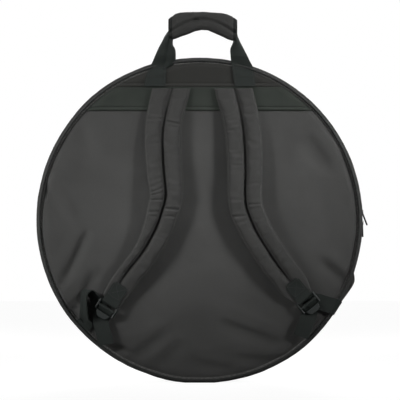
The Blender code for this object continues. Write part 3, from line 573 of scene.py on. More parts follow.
def rim_swell(turn):
    """How far out the rim stands at an angle, in metres."""
    angle = math.degrees(turn) % 360.0
    for (low, first), (high, second) in zip(RIM_SWELL, RIM_SWELL[1:]):
        if low <= angle <= high:
            share = (1 - math.cos(math.pi * (angle - low) / (high - low))) / 2
            return (first + (second - first) * share) * MM
    return 0.0


def rim_point(radius, turn, y):
    """A point on the bag's round, flattened where the bag stands on the floor."""
    beside_zip = min(max((ZIP_SIDE_Y - y) / ZIP_SIDE_Y, 0.0), 1.0)
    reach = radius + rim_swell(turn) * (radius / RADIUS) ** RIM_FADE_POWER * beside_zip
    x = reach * math.cos(turn)
    z = CENTRE_Z + reach * math.sin(turn)
    return x, y, max(z, RADIUS - radius, 0.0)


# Folds in the back panel: two ends from the bag's centre, half width and depth, in metres
BACK_FOLDS = (
    ((-0.279, 0.073), (-0.236, 0.006), 0.0095, 0.0026),
    ((-0.252, -0.108), (-0.210, -0.022), 0.0090, 0.0034),
    ((-0.236, -0.165), (-0.196, -0.095), 0.0125, 0.0042),
    ((-0.176, -0.222), (-0.124, -0.228), 0.0085, 0.0042),
    ((-0.128, -0.244), (-0.062, -0.196), 0.0120, 0.0042),
    ((-0.080, -0.258), (-0.036, -0.214), 0.0120, 0.0026),
    ((0.226, -0.070), (0.270, -0.108), 0.0095, 0.0036),
    ((0.046, -0.178), (0.138, -0.214), 0.0130, 0.0048),
    ((0.070, -0.240), (0.165, -0.252), 0.0110, 0.0030),
    ((-0.010, -0.250), (0.060, -0.262), 0.0120, 0.0020),
    ((-0.230, -0.150), (-0.196, -0.205), 0.0110, 0.0034),
    ((-0.205, 0.172), (-0.180, 0.120), 0.0140, 0.0018),
    ((0.200, 0.150), (0.240, 0.100), 0.0160, 0.0018),
)
FRONT_FOLDS = tuple(((-a[0], a[1]), (-b[0], b[1]), w, d) for a, b, w, d in BACK_FOLDS[::2])
# The folds of each panel and where its slow dents start in the noise
PANEL_RELIEF = {"back": (BACK_FOLDS, 0.0), "front": (FRONT_FOLDS, 7.0)}
# Slow dents all over the panel: their size and depth, about a mean depth
SOFT_SIZES = ((0.110, 0.0032), (0.045, 0.0016), (0.018, 0.00035))
MEAN_DEPTH = 0.0022
FOLD_SCALE = 2.2
# How far past its middle a fold lasts, as a share of its length; how far its valley and its
# ridge lie off its line, in half widths; and how high the ridge is beside the valley
FOLD_FADE = 0.52
FOLD_OFF = 0.8
RIDGE_SHARE = 0.75
RELIEF_LIMIT = 0.0090
SEAM_DROP = 0.0042
SEAM_REACH = 0.012


def fold_depth(x, height, fold):
    """A valley with a ridge beside it, along a line that fades at both ends."""
    (x0, h0), (x1, h1), width, depth = fold
    run = math.hypot(x1 - x0, h1 - h0)
    ux, uh = (x1 - x0) / run, (h1 - h0) / run
    along = ((x - x0) * ux + (height - h0) * uh) / run
    if along < -0.6 or along > 1.6:
        return 0.0
    off = ((x - x0) * -uh + (height - h0) * ux) / width
    fade = math.exp(-((along - 0.5) / FOLD_FADE) ** 4)
    valley = math.exp(-((off + FOLD_OFF) ** 2))
    ridge = math.exp(-((off - FOLD_OFF) ** 2) * 0.8)
    return FOLD_SCALE * depth * fade * (valley - RIDGE_SHARE * ridge)


def relief(x, height, folds=BACK_FOLDS, seed=0.0):
    """How deep the panel's face lies below its highest level, in metres."""
    depth = MEAN_DEPTH
    for size, amount in SOFT_SIZES:
        depth += amount * noise.noise(Vector((x / size, height / size, seed)))
    for fold in folds:
        depth += fold_depth(x, height, fold)
    edge = PANEL_RADIUS - math.hypot(x, height)
    if edge < SEAM_REACH:
        depth += SEAM_DROP * (1.0 - edge / SEAM_REACH) ** 2
    return RELIEF_LIMIT * math.tanh(max(depth, 0.0) / RELIEF_LIMIT)


print("rim and relief ready; relief at the middle", round(relief(0, 0) / MM, 2), "mm")

# %% [markdown]
# ## The panels
# A panel is a polar grid of points, fine enough for the folds, with a back close behind it.
# The cloth has all of the relief on both faces. The foam's outer face follows it and its
# inner face has less, and so has the lining, so that no layer cuts through the next.

# %% Panel layers
SIDES = {"back": ("back_shell", -1.0), "front": ("front_cover", 1.0)}
PANEL_TURNS = 240
PANEL_RINGS = 64
INNER_SHARE = 0.45
# Each layer's finish, slot and the shares of the relief on its outer and inner face
PANEL_LAYERS = {
    "cloth": (shell_cloth, "shell_cloth", (1.0, 1.0)),
    "foam": (foam_cells, "foam", (1.0, INNER_SHARE)),
    "lining": (lining_cloth, "lining", (INNER_SHARE, INNER_SHARE)),
}


def outward(side, low, high):
    """The depths of a box's outer and inner face on one side of the bag."""
    return (low[1], high[1]) if side == "back" else (high[1], low[1])


def panel_layer(side, layer):
    """One round layer: each of its two faces carries its own share of the relief."""
    finish, slot, shares = PANEL_LAYERS[layer]
    body, sign = SIDES[side]
    node = f"{side}_panel_{layer}"
    low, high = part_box(node)
    radius = high[2] - CENTRE_Z
    points, lay, faces = [], [], []
    turns = [2 * math.pi * k / PANEL_TURNS for k in range(PANEL_TURNS)]
    for level, part in zip(outward(side, low, high), shares):
        start = len(points)
        sunk = relief(0.0, 0.0, *PANEL_RELIEF[side]) * part
        points.append((0.0, level - sign * sunk, CENTRE_Z))
        lay.append((0.0, 0.0))
        for ring in range(1, PANEL_RINGS + 1):
            reach = radius * (1.0 - (1.0 - ring / PANEL_RINGS) ** 1.15)
            for turn in turns:
                x, _, z = rim_point(reach, turn, level)
                depth = relief(x, z - CENTRE_Z, *PANEL_RELIEF[side]) * part
                points.append((x, level - sign * depth, z))
                lay.append((x, z))
        for k in range(PANEL_TURNS):
            n = (k + 1) % PANEL_TURNS
            faces.append((start, start + 1 + k, start + 1 + n))
            for ring in range(PANEL_RINGS - 1):
                near = start + 1 + ring * PANEL_TURNS
                far = near + PANEL_TURNS
                faces.append((near + k, far + k, far + n, near + n))
    rim = 1 + (PANEL_RINGS - 1) * PANEL_TURNS
    other = 2 + (2 * PANEL_RINGS - 1) * PANEL_TURNS
    for k in range(PANEL_TURNS):
        n = (k + 1) % PANEL_TURNS
        faces.append((rim + k, other + k, other + n, rim + n))
    piece = make_piece(f"{side}_{layer}", points, faces, lay, finish, body, slot, node)
    layer == "foam"


for side in SIDES:
    for layer in PANEL_LAYERS:
        panel_layer(side, layer)
    print(side, "panel", len(PIECES[f"{side}_cloth"].data.vertices), "points in its cloth")

# %% [markdown]
# ## Rings round the rim
# Piping, side wall, zip tapes and edges are all sections taken round the rim. Piping is a
# cord, so its section is a circle; the side wall's cloth bellies out a little between its
# seam and the zip.

# %% Ring pieces
RIM_TURNS = 420
WALL_PUCKER = 0.0005


def rim_ring(name, section, finish, body, slot, node, span=None, pucker=0.0, turns=RIM_TURNS):
    """A closed section of depth and radius pairs, taken round the rim or part of it."""
    if span is None:
        angles = [2 * math.pi * k / turns - math.pi / 2 for k in range(turns)]
    else:
        low, high = (math.radians(v) for v in span)
        steps = max(int(turns * (high - low) / (2 * math.pi)), 6)
        angles = [low + (high - low) * k / steps for k in range(steps + 1)]
    rings = []
    for turn in angles:
        spot = Vector((math.cos(turn), math.sin(turn), 0.0)) * 9.0
        loop = []
        for y, radius in section:
            rough = pucker * noise.noise(spot + Vector((0.0, 0.0, y * 60.0)))
            rough += pucker * 0.6 * noise.noise(spot * 3.1 + Vector((0.0, 0.0, y * 90.0)))
            loop.append(rim_point(radius + rough, turn, y))
        rings.append(loop)
    return make_skin(name, rings, finish, body, slot, node, closed=span is None)


def cord_section(y):
    """A circle about the piping's depth and radius."""
    half, radius = PIPING_WIDTH / 2 - CORD_SLIM, PIPING_RADIUS + CORD_OUT
    turns = [2 * math.pi * k / 12 for k in range(12)]
    return [(y + half * math.cos(turn), radius + half * math.sin(turn)) for turn in turns]


def wall_section(seam_y, end_y, belly):
    """The side wall's cloth: from the sewn edge over its round shoulder to its end."""
    sign = 1.0 if end_y > seam_y else -1.0
    width = abs(end_y - seam_y)
    outer = []
    for share in (k / 9 for k in range(10)):
        shoulder = SHOULDER * (1.0 - min(share * width / SHOULDER, 1.0)) ** 2
        swell = belly * math.sin(math.pi * min(share * 1.1, 1.0))
        outer.append((seam_y + sign * share * width, RADIUS - shoulder + swell))
    return outer + [(y, radius - CLOTH) for y, radius in outer[::-3]]


SHOULDER = 0.0044
SEAM_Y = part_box("side_wall_cloth")[0][1]
WALL_END_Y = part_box("side_wall_cloth")[1][1]
EDGE_START_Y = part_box("front_edge_cloth")[0][1]
ZIP_SPAN = (-60.0, 240.0)
CORD_SLIM = 0.5 * MM
CORD_OUT = 1.7 * MM
# Each strip of the wall: its two ends, its belly, body, node, span and puckers
WALL_STRIPS = {
    "side_wall": (SEAM_Y, WALL_END_Y, 0.0012, "back_shell", "side_wall_cloth", None, WALL_PUCKER),
    "front_edge": (-SEAM_Y, EDGE_START_Y, 0.0003, "front_cover", "front_edge_cloth", ZIP_SPAN,
                   WALL_PUCKER * 0.4),
    "hinge_strip": (-SEAM_Y, WALL_END_Y + 0.3 * MM, 0.0, "back_shell", "bottom_hinge_strip",
                    (240.2, 299.8), 0.0),
}
for name, (start, end, belly, body, node, span, pucker) in WALL_STRIPS.items():
    rim_ring(name, wall_section(start, end, belly), wall_cloth, body, "shell_cloth", node, span,
             pucker)
for side, (body, sign) in SIDES.items():
    rim_ring(f"{side}_piping_cord", cord_section(sign * PIPING_Y), piping_cloth, body,
             "edge_tape", f"{side}_piping", pucker=0.12 * MM)
print("rim rings ready:", len(PIECES), "pieces so far")

# %% [markdown]
# ## Layers inside the wall
# The foam, the lining and the bound seam can only be seen when the bag is open, so they are
# plain bands.

# %% Inner bands
# Each node's finish, slot, thickness, body and span
INNER_BANDS = {
    "side_wall_foam": (foam_cells, "foam", 0.0084, "back_shell", None),
    "side_wall_lining": (lining_cloth, "lining", 0.0010, "back_shell", None),
    "inner_seam_tape_back": (seam_tape, "edge_tape", 0.0018, "back_shell", None),
    "front_edge_foam": (foam_cells, "foam", 0.0084, "front_cover", ZIP_SPAN),
    "inner_seam_tape_front": (seam_tape, "edge_tape", 0.0018, "front_cover", ZIP_SPAN),
}


def inner_band(node, finish, slot, thick, body, span):
    """A soft band that fills its node's section."""
    low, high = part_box(node)
    outer = min(high[2] - CENTRE_Z, high[0] + 0.05 * MM)
    inner = outer - thick
    start, end = low[1], high[1]
    if slot == "foam":
        sewn, free = (start, end) if body == "back_shell" else (end, start)
        shoulder = sewn + (SHOULDER if free > sewn else -SHOULDER)
        section = [(sewn, inner), (sewn, outer - SHOULDER), (shoulder, outer), (free, outer),
                   (free, inner)]
    else:
        middle, rise = (start + end) / 2, thick * 0.12
        section = [(start, inner), (start, outer - rise), (middle, outer), (end, outer - rise),
                   (end, inner), (middle, inner - rise)]
    piece = rim_ring(node + "_band", section, finish, body, slot, node, span=span, turns=240)
    slot == "foam"


for node, settings in INNER_BANDS.items():
    inner_band(node, *settings)
print("inner bands ready")

# %% [markdown]
# ## Yoke and band
# A second layer of cloth, the yoke, covers the top of the back panel, and a wide band of
# webbing under it takes the pull of the straps. Both follow the relief of the panel below,
# and their lower edges are turned under, so they end in a small roll.

# %% Overlays
OVERLAY_COLUMNS = 150
HEM_ROLL = 0.0019
HEM_WIDTH = 5.5 * MM
HEM_GROOVE = 0.0012
HEM_LEAD = 0.8 * MM
OVERLAY_STEP = 1.4 * MM
RIM_GAP = 0.3 * MM


def hem_roll(far):
    """How far an edge that is turned under stands proud at a distance from its end."""
    if far >= 2 * HEM_WIDTH:
        return 0.0
    groove = math.exp(-(((far - HEM_WIDTH - 1.0 * MM) / (1.1 * MM)) ** 2))
    turn = math.pi * (far + HEM_LEAD) / (HEM_WIDTH + HEM_LEAD)
    roll = max(math.sin(turn), 0.0) if far < HEM_WIDTH else 0.0
    return HEM_ROLL * roll - HEM_GROOVE * groove


def overlay(name, node, finish, slot):
    """A layer sewn on the back panel between two heights, cut round at the rim."""
    low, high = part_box(node)
    outer, inner = low[1], high[1]
    rows = max(int((high[2] - low[2]) / OVERLAY_STEP), 8)
    rings = []
    foot, top = low[2] - CENTRE_Z, high[2] - CENTRE_Z
    reach = PANEL_RADIUS - RIM_GAP
    for row in range(rows + 1):
        height = foot + (top - foot) * row / rows
        half = math.sqrt(max(reach * reach - height * height, (4 * MM) ** 2))
        roll = hem_roll(height - foot)
        front, back = [], []
        for k in range(OVERLAY_COLUMNS + 1):
            x = half * (2.0 * k / OVERLAY_COLUMNS - 1.0)
            depth = relief(x, height)
            front.append((x, outer + depth - roll, CENTRE_Z + height))
            back.append((x, inner + depth, CENTRE_Z + height))
        rings.append(front + back[::-10])
    piece = make_skin(name, rings, finish, "back_shell", slot, node)
    width, height = high[0] - low[0], high[2] - low[2]
    area = sum(0.5 * (np.ptp(np.array(a)[:, 0]) + np.ptp(np.array(b)[:, 0])) * height / rows
               for a, b in zip(rings, rings[1:]))


overlay("yoke", "top_yoke", yoke_cloth, "shell_cloth")
overlay("reinforcing_band", "reinforcement_band", band_weave, "webbing")
print("yoke and band ready")

# %% [markdown]
# ## The zip
# The zip is a coil zip: a nylon thread wound into teeth, sewn on a woven tape. Each tooth
# is a rounded wedge, made once for each place round the rim, and all of one side are one
# piece. A slit as wide as the slider's neck stays open between the two rows.

# %% Zip tapes, teeth and end tabs
TOOTH_PITCH = 0.0020
TOOTH_LENGTH = 0.00135
TOOTH_DEPTH = 2.6 * MM
SLIDER_SLIT = 0.00045


def zip_tapes():
    for side, (body, _) in SIDES.items():
        low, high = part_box(f"zip_tape_{side}")
        outer = high[2] - CENTRE_Z
        far, near = outward(side, low, high)
        middle = (near + far) / 2
        section = [(near, outer - 0.2 * MM), (middle, outer), (far, outer - 0.1 * MM),
                   (far, outer - 1.1 * MM), (middle, outer - 1.2 * MM), (near, outer - 1.1 * MM)]
        rim_ring(f"zip_band_{side}", section, zip_tape, body, "webbing", f"zip_tape_{side}",
                 span=ZIP_SPAN, turns=300)


def zip_teeth(side):
    """All the teeth of one side, from one end of the zip to the other."""
    node = f"zip_coil_{side}"
    low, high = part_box(node)
    far = outward(side, low, high)[0]
    body, sign = SIDES[side]
    split = (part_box("zip_coil_back")[1][1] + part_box("zip_coil_front")[0][1]) / 2
    outer, inner = high[2] - CENTRE_Z, high[2] - CENTRE_Z - TOOTH_DEPTH
    tip, bulb = split + sign * SLIDER_SLIT, 0.5 * MM
    profile = [
        (tip, inner + bulb), (tip, outer - bulb), (tip + sign * bulb, outer),
        (far - sign * bulb, outer - 0.3 * MM), (far, outer - 2 * bulb), (far, inner + bulb),
        (far - sign * bulb, inner), (tip + sign * bulb, inner),
    ]
    start, end = (math.radians(v) for v in ZIP_SPAN)
    count = int((end - start) * RADIUS / TOOTH_PITCH)
    shift = 0.5 if side == "front" else 0.0
    middle = (inner + outer) / 2
    points, faces, lay = [], [], []
    for k in range(count):
        turn = start + (k + shift + 0.5) * TOOTH_PITCH / RADIUS
        base = len(points)
        for end_share in (-0.5, 0.5):
            for y, radius in profile:
                slant = (y - far) * sign * 0.10
                r = middle + (radius - middle) * (1.0 if abs(y - tip) < bulb else 0.75)
                angle = turn + (end_share * TOOTH_LENGTH + slant) / RADIUS
                points.append(rim_point(r, angle, y))
                lay.append((y, angle * RADIUS))
        faces.extend(tube_faces(base, 2, len(profile)))
    make_piece(f"zip_teeth_{side}", points, faces, lay, coil_nylon, body, "zip_coil", node)
    return count


END_TAB_HALF = 0.011


def zip_end_tabs():
    half = math.degrees(END_TAB_HALF / RADIUS)
    for side, middle in (("left", ZIP_SPAN[1]), ("right", ZIP_SPAN[0])):
        low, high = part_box(f"zip_end_tab_{side}")
        start, end, base = low[1], high[1], RADIUS + 0.3 * MM
        section = [(start, base), (start, base + 0.8 * MM), (start + 1.2 * MM, base + 1.3 * MM),
                   ((start + end) / 2, base + 1.1 * MM), (end - 1.2 * MM, base + 1.3 * MM),
                   (end, base + 0.8 * MM), (end, base)]
        rim_ring(f"end_tab_{side}", section, edge_tape, "back_shell", "edge_tape",
                 f"zip_end_tab_{side}", span=(middle - half, middle + half), turns=900)


zip_tapes()
print("zip teeth on each side:", zip_teeth("back"), zip_teeth("front"))
zip_end_tabs()

# %% [markdown]
# ## Stitches
# Thread shows as short rounded dashes. Each stitch is a small capsule that sinks in the
# cloth at both ends. They are gathered for each body and become one piece at the end.

# %% Stitch maker
STITCH_LENGTH = 0.0026
STITCH_PITCH = 0.0036
STITCH_WIDTH = 0.0007
STITCH_SIDES = 6
# A stitch's rounds: place along it, share of its width and height off the cloth
STITCH_ROUNDS = ((-0.5, 0.35, -0.25 * MM), (-0.28, 1.0, 0.12 * MM), (0.28, 1.0, 0.12 * MM),
                 (0.5, 0.35, -0.25 * MM))
SEAMS = {}


def stitch_row(body, path, way=(0.0, -1.0, 0.0), pitch=STITCH_PITCH):
    """Stitches along a path of points, on a cloth that faces the given way."""
    spots = [Vector(p) for p in path]
    steps = [0.0, *np.cumsum([(b - a).length for a, b in zip(spots, spots[1:])])]
    count = int(steps[-1] / pitch)
    for k in range(count):
        at = (k + 0.5) * steps[-1] / count
        i = max(j for j in range(len(steps) - 1) if steps[j] <= at)
        share = (at - steps[i]) / max(steps[i + 1] - steps[i], 1e-9)
        run = (spots[i + 1] - spots[i]).normalized()
        spot = spots[i].lerp(spots[i + 1], share)
        SEAMS.setdefault(body, []).append((spot, run, Vector(way)))


def make_stitches():
    """One piece of thread for each body that has seams."""
    for body, stitches in SEAMS.items():
        points, faces, lay = [], [], []
        for middle, run, way in stitches:
            side = run.cross(way)
            faces.extend(tube_faces(len(points), len(STITCH_ROUNDS), STITCH_SIDES))
            for share, fat, rise in STITCH_ROUNDS:
                spot = middle + run * (share * STITCH_LENGTH) + way * rise
                for n in range(STITCH_SIDES):
                    turn = 2 * math.pi * n / STITCH_SIDES
                    off = side * math.cos(turn) + way * (math.sin(turn) * 0.7)
                    points.append(spot + off * (STITCH_WIDTH / 2 * fat))
                    lay.append((n * 0.4 * MM, share * STITCH_LENGTH))
        make_piece(f"stitches_{body}", points, faces, lay, thread, body, "strap_cloth")
        print(body, len(stitches), "stitches")


def panel_seam(height, reach, gaps):
    """A straight row across the back panel, left out under the straps or the handle."""
    path = []
    for k in range(121):
        x = reach * (2.0 * k / 120 - 1.0)
        path.append((x, OVERLAY_FACE + relief(x, height), CENTRE_Z + height))
    for piece in split_path(path, gaps):
        stitch_row("back_shell", piece)


def split_path(path, gaps):
    runs, run = [], []
    for point in path:
        if any(low < point[0] < high for low, high in gaps):
            if len(run) > 1:
                runs.append(run)
            run = []
        else:
            run.append(point)
    return runs + ([run] if len(run) > 1 else [])


OVERLAY_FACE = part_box("top_yoke")[0][1]
band_low, band_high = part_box("reinforcement_band")
BAND_LOW = band_low[2] - CENTRE_Z
BAND_HIGH = band_high[2] - CENTRE_Z
STRAP_GAPS = ((-0.092, -0.014), (0.024, 0.100))
HANDLE_GAPS = ((-0.104, -0.058), (0.058, 0.106))
RIM_SEAM_INSET = 5.2 * MM
OVERLAY_THICK = 1.5 * MM
panel_seam(BAND_LOW + 2.2 * MM, 0.196, STRAP_GAPS)
panel_seam(BAND_LOW + 8.0 * MM, 0.192, STRAP_GAPS)
panel_seam(BAND_HIGH - 2.6 * MM, 0.146, STRAP_GAPS)
panel_seam(BAND_HIGH + 3.0 * MM, 0.142, HANDLE_GAPS)
for side, level in (("back", BACK_FACE), ("front", FRONT_FACE)):
    body, sign = SIDES[side]
    turns = [math.radians(v) for v in range(-90, 271, 2)]
    seam = [Vector(rim_point(PANEL_RADIUS - RIM_SEAM_INSET, turn, 0.0)) for turn in turns]
    for spot in seam:
        spot.y = level - sign * relief(spot.x, spot.z - CENTRE_Z, *PANEL_RELIEF[side])
        if side == "back" and spot.z - CENTRE_Z > BAND_LOW:
            spot.y -= OVERLAY_THICK
    stitch_row(body, seam, (0.0, sign, 0.0))
print("stitches so far:", {body: len(rows) for body, rows in SEAMS.items()})

# %% [markdown]
# ## The carry handle
# Webbing runs up from each side of the panel and narrows as it folds into the padded grip.
# The grip is a wrap, open along its far side, with bound ends; a flap closes it with hook
# and loop. Widths and heights are real sizes above the bag's centre.

# %% Handle webbing
WEB = 1.5 * MM


def middle_y(node):
    low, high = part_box(node)
    return (low[1] + high[1]) / 2


HANDLE_Y = middle_y("handle_webbing_back")
LAYER_Y = middle_y("handle_webbing_front")
# Height above the centre, left edge and right edge of each strand of webbing
HANDLE_STRANDS = {
    "left": (
        (0.2414, -0.1005, -0.0615), (0.2530, -0.0980, -0.0610), (0.2641, -0.0953, -0.0604),
        (0.2776, -0.0893, -0.0586), (0.2876, -0.0842, -0.0568), (0.3092, -0.0747, -0.0541),
        (0.3224, -0.0678, -0.0507), (0.3327, -0.0626, -0.0480), (0.3420, -0.0560, -0.0440),
        (0.3480, -0.0500, -0.0390),
    ),
    "right": (
        (0.2414, 0.0640, 0.1010), (0.2587, 0.0613, 0.0992), (0.2755, 0.0586, 0.0969),
        (0.2876, 0.0568, 0.0907), (0.2985, 0.0558, 0.0853), (0.3092, 0.0556, 0.0799),
        (0.3218, 0.0604, 0.0736), (0.3327, 0.0600, 0.0690), (0.3420, 0.0560, 0.0670),
        (0.3480, 0.0520, 0.0620),
    ),
}
INNER_FOLD = (
    (0.2740, -0.0690, -0.0560), (0.2800, -0.0680, -0.0480), (0.2886, -0.0660, -0.0434),
    (0.3009, -0.0640, -0.0428), (0.3092, -0.0630, -0.0440), (0.3180, -0.0600, -0.0480),
    (0.3290, -0.0560, -0.0470), (0.3400, -0.0520, -0.0430),
)
# The webbing's full width, and how deep it folds for what it lacks in width
FULL_WIDTH = 0.038
FOLD_SHARE = 0.42
DEEPEST_FOLD = 0.010
SELVEDGE = 0.25 * MM
ACROSS_POINTS = 15
# Heights below which a strand lies on the panel and the inner fold goes behind the strand
FOLD_LINE = 0.2956
TUCK_LINE = 0.2960


def strand_rings(table, level, count, tucked=False):
    """A ribbon seen from the front by its two edges; what it lacks in width it folds away.

    Its lower part is tucked behind the strand, or else it lies on the panel's relief.
    """
    rings = []
    for height, left, right in smooth_curve(table, count):
        width = right - left
        folded = min(max(FULL_WIDTH - width, 0.0) * FOLD_SHARE, DEEPEST_FOLD)
        front, back = [], []
        for k in range(ACROSS_POINTS):
            s = 2.0 * k / (ACROSS_POINTS - 1) - 1.0
            x = left + width * (s + 1.0) / 2
            y = level - folded * (1.0 - s * s) + folded * 0.5
            if tucked and height < TUCK_LINE:
                behind = HANDLE_Y + 2.2 * MM - level + folded * 0.5
                y += behind * min((TUCK_LINE - height) / 0.010, 1.0)
            elif not tucked and height < FOLD_LINE:
                y += relief(x, height) * min((FOLD_LINE - height) / 0.02, 1.0)
            edge = SELVEDGE if abs(s) > 0.8 else 0.0
            front.append((x, y - WEB / 2 - edge, CENTRE_Z + height))
            back.append((x, y + WEB / 2, CENTRE_Z + height))
        rings.append(front + back[::-1])
    return rings


fold_start = Vector((0.0, HANDLE_Y, CENTRE_Z + FOLD_LINE - 3.0 * MM))
fold_end = Vector((0.0, HANDLE_Y, CENTRE_Z + FOLD_LINE + 14.0 * MM))
for side, table in HANDLE_STRANDS.items():
    make_skin(f"handle_strand_{side}", strand_rings(table, HANDLE_Y, 64), webbing_weave,
              ("back_shell", "carry_handle", fold_start, fold_end), "webbing",
              f"handle_sewn_end_{side}")
    sewn = table[:4] if side == "left" else table[:3]
    make_skin(f"handle_under_layer_{side}", strand_rings(sewn, LAYER_Y, 24), webbing_weave,
              "back_shell", "webbing")
make_skin("handle_inner_fold", strand_rings(INNER_FOLD, LAYER_Y, 40, tucked=True),
          webbing_weave, "carry_handle", "webbing", "handle_webbing_front")
print("handle strands ready, folding at", round(CENTRE_Z + FOLD_LINE, 4))

# %% The padded grip
# Along the grip: x, height of its top and height of its underside
GRIP_PROFILE = (
    (-0.0562, 0.3622, 0.3320), (-0.0535, 0.3642, 0.3272), (-0.0500, 0.3672, 0.3256),
    (-0.0440, 0.3718, 0.3268), (-0.0350, 0.3746, 0.3304), (-0.0220, 0.3752, 0.3354),
    (-0.0080, 0.3752, 0.3406), (0.0030, 0.3750, 0.3430), (0.0150, 0.3746, 0.3424),
    (0.0280, 0.3740, 0.3372), (0.0400, 0.3732, 0.3316), (0.0500, 0.3712, 0.3268),
    (0.0580, 0.3678, 0.3242), (0.0630, 0.3640, 0.3238), (0.0680, 0.3606, 0.3300),
)
GRIP_START, GRIP_END = GRIP_PROFILE[0][0], GRIP_PROFILE[-1][0]
GRIP_Y = middle_y("grip_wrap")
GRIP_FAR_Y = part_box("grip_wrap")[1][1]
GRIP_HALF_DEPTH = GRIP_FAR_Y - GRIP_Y
SLOT_HALF = 0.0115
SLOT_DEEP = 0.0021
GRIP_POINTS = 44
GRIP_ROUND = 2.6
# The wrap gets less deep towards its ends, over this length and down to this share
TAPER, TAPER_SHARE = 0.014, 0.82
# The lumps on the wrap: how many in a metre, along x, up and in depth, and their height; and
# the length at the ends over which they fade
SMALL_LUMPS, SMALL_RISE = (70.0, 150.0, 60.0), 0.7 * MM
LARGE_LUMPS, LARGE_RISE = (30.0, 60.0), 0.8 * MM
LUMPS_FADE = 0.008
# The part of the round that the wrap covers, from its one edge to the other
WRAP_START, WRAP_SWEEP = math.radians(62.0), math.radians(236.0)
# The fold along the face: its middle, its reach to both sides, its width and its depth
FOLD_X, FOLD_REACH, FOLD_WIDTH, FOLD_DEPTH = 0.006, 0.062, 0.0036, 0.0034
# The pinch in it: x, height above the grip's middle, half its width and height, and depth
PINCH_X, PINCH_HEIGHT, PINCH_WIDE, PINCH_TALL = -0.0065, 0.0022, 0.006, 0.0026
PINCH_DEPTH = 0.0042


def read_off(table, at, column):
    """A column of a table at a value of its first column."""
    rows = np.array(table)
    return float(np.interp(at, rows[:, 0], rows[:, column]))


def grip_heights(x):
    return read_off(GRIP_PROFILE, x, 1), read_off(GRIP_PROFILE, x, 2)


def grip_ring(x, squeeze=0.0):
    """One section of the grip: a soft round wrap, open to the webbing on its far side."""
    top, low = grip_heights(x)
    middle, half = (top + low) / 2, (top - low) / 2 - squeeze
    ends = min(abs(x - GRIP_START), abs(GRIP_END - x))
    taper = TAPER_SHARE + (1.0 - TAPER_SHARE) * min(ends / TAPER, 1.0)
    deep = (GRIP_HALF_DEPTH - squeeze) * taper
    fade = min(ends / LUMPS_FADE, 1.0)
    slot = min(SLOT_HALF, half * 0.6)
    loop = []
    for k in range(GRIP_POINTS):
        turn = WRAP_START + WRAP_SWEEP * k / (GRIP_POINTS - 1)
        c, s = math.cos(turn), math.sin(turn)
        out = (abs(c) ** GRIP_ROUND + abs(s) ** GRIP_ROUND) ** (-1.0 / GRIP_ROUND)
        y, h = min(GRIP_Y + deep * c * out, GRIP_FAR_Y), middle + half * s * out
        face = max(-c, 0.0)
        share = (x - FOLD_X) / FOLD_REACH
        off = (h - middle - half * (0.10 - 0.55 * share * share)) / FOLD_WIDTH
        y += FOLD_DEPTH * face * (math.exp(-off * off) - 0.4 * math.exp(-((off - 1.7) ** 2)))
        spot = ((x - PINCH_X) / PINCH_WIDE) ** 2 + ((h - middle - PINCH_HEIGHT) / PINCH_TALL) ** 2
        y += PINCH_DEPTH * face * math.exp(-spot)
        rough = noise.noise(Vector((x, h, y)) * Vector(SMALL_LUMPS)) * SMALL_RISE
        rough += noise.noise(Vector((x * LARGE_LUMPS[0], h * LARGE_LUMPS[1], 4.0))) * LARGE_RISE
        y += rough * c * fade
        h += rough * s * fade
        loop.append((x, min(y, GRIP_FAR_Y), CENTRE_Z + h))
    for y, h in ((GRIP_FAR_Y, -slot), (GRIP_Y + SLOT_DEEP, -slot), (GRIP_Y + SLOT_DEEP, slot),
                 (GRIP_FAR_Y, slot)):
        loop.append((x, y, CENTRE_Z + middle + h))
    return loop


BINDING = 0.0074
wrap_rings = [grip_ring(x) for x in np.linspace(GRIP_START + BINDING, GRIP_END - BINDING, 90)]
wrap = make_skin("grip_padding", wrap_rings, strap_cloth, "carry_handle", "strap_cloth",
                 "grip_wrap")
for side, low in (("left", GRIP_START), ("right", GRIP_END - BINDING)):
    rings = [grip_ring(low + 0.1 * MM, squeeze=1.4 * MM)]
    for share in (0.0, 0.12, 0.5, 0.88, 1.0):
        bead = 0.6 * MM * math.sin(math.pi * share) - (0.3 * MM if share in (0.0, 1.0) else 0.0)
        rings.append(grip_ring(low + BINDING * (0.02 + 0.96 * share), squeeze=-bead))
    rings.append(grip_ring(low + BINDING - 0.1 * MM, squeeze=1.4 * MM))
    make_skin(f"grip_bound_end_{side}", rings, bound_tape, "carry_handle", "edge_tape",
              f"grip_end_binding_{side}")
print("grip ready:", len(wrap.data.vertices), "points")

# %% Grip core, flap and its tapes
def box_strip(name, node, finish, slot, body, bulge):
    """A soft strip along the grip that fills its node's box and follows the arch."""
    low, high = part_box(node)
    low_x, high_x = max(low[0], GRIP_START), min(high[0], GRIP_END)
    arch = [grip_arch(x) for x in np.linspace(low_x, high_x, 21)]
    tall = high[2] - low[2] - (max(arch) - min(arch))
    rings = []
    for x in np.linspace(low_x, high_x, 48):
        arched = low[2] + grip_arch(x) - min(arch)
        base = max(arched, CENTRE_Z + grip_heights(x)[1] + 2.0 * MM)
        ends = min(min(x - low_x, high_x - x) / 0.006, 1.0)
        front, back = [], []
        for share in (k / 8 for k in range(9)):
            swell = bulge * (1 - (2 * share - 1) ** 2) * ends
            rough = noise.noise(Vector((x * 90.0, share * 3.0, low[1] * 500.0))) * bulge * 0.35
            front.append((x, high[1] - bulge + swell + rough, base + tall * share))
            back.append((x, low[1], base + tall * share))
        rings.append(front + back[::-1])
    return make_skin(name, rings, finish, body, slot, node)


ARCH_DROP = 0.009


def grip_arch(x):
    """How the CAD's grip bends along its length: highest in its middle."""
    share = (x - (GRIP_START + GRIP_END) / 2) / ((GRIP_END - GRIP_START) / 2)
    return -ARCH_DROP * share * share


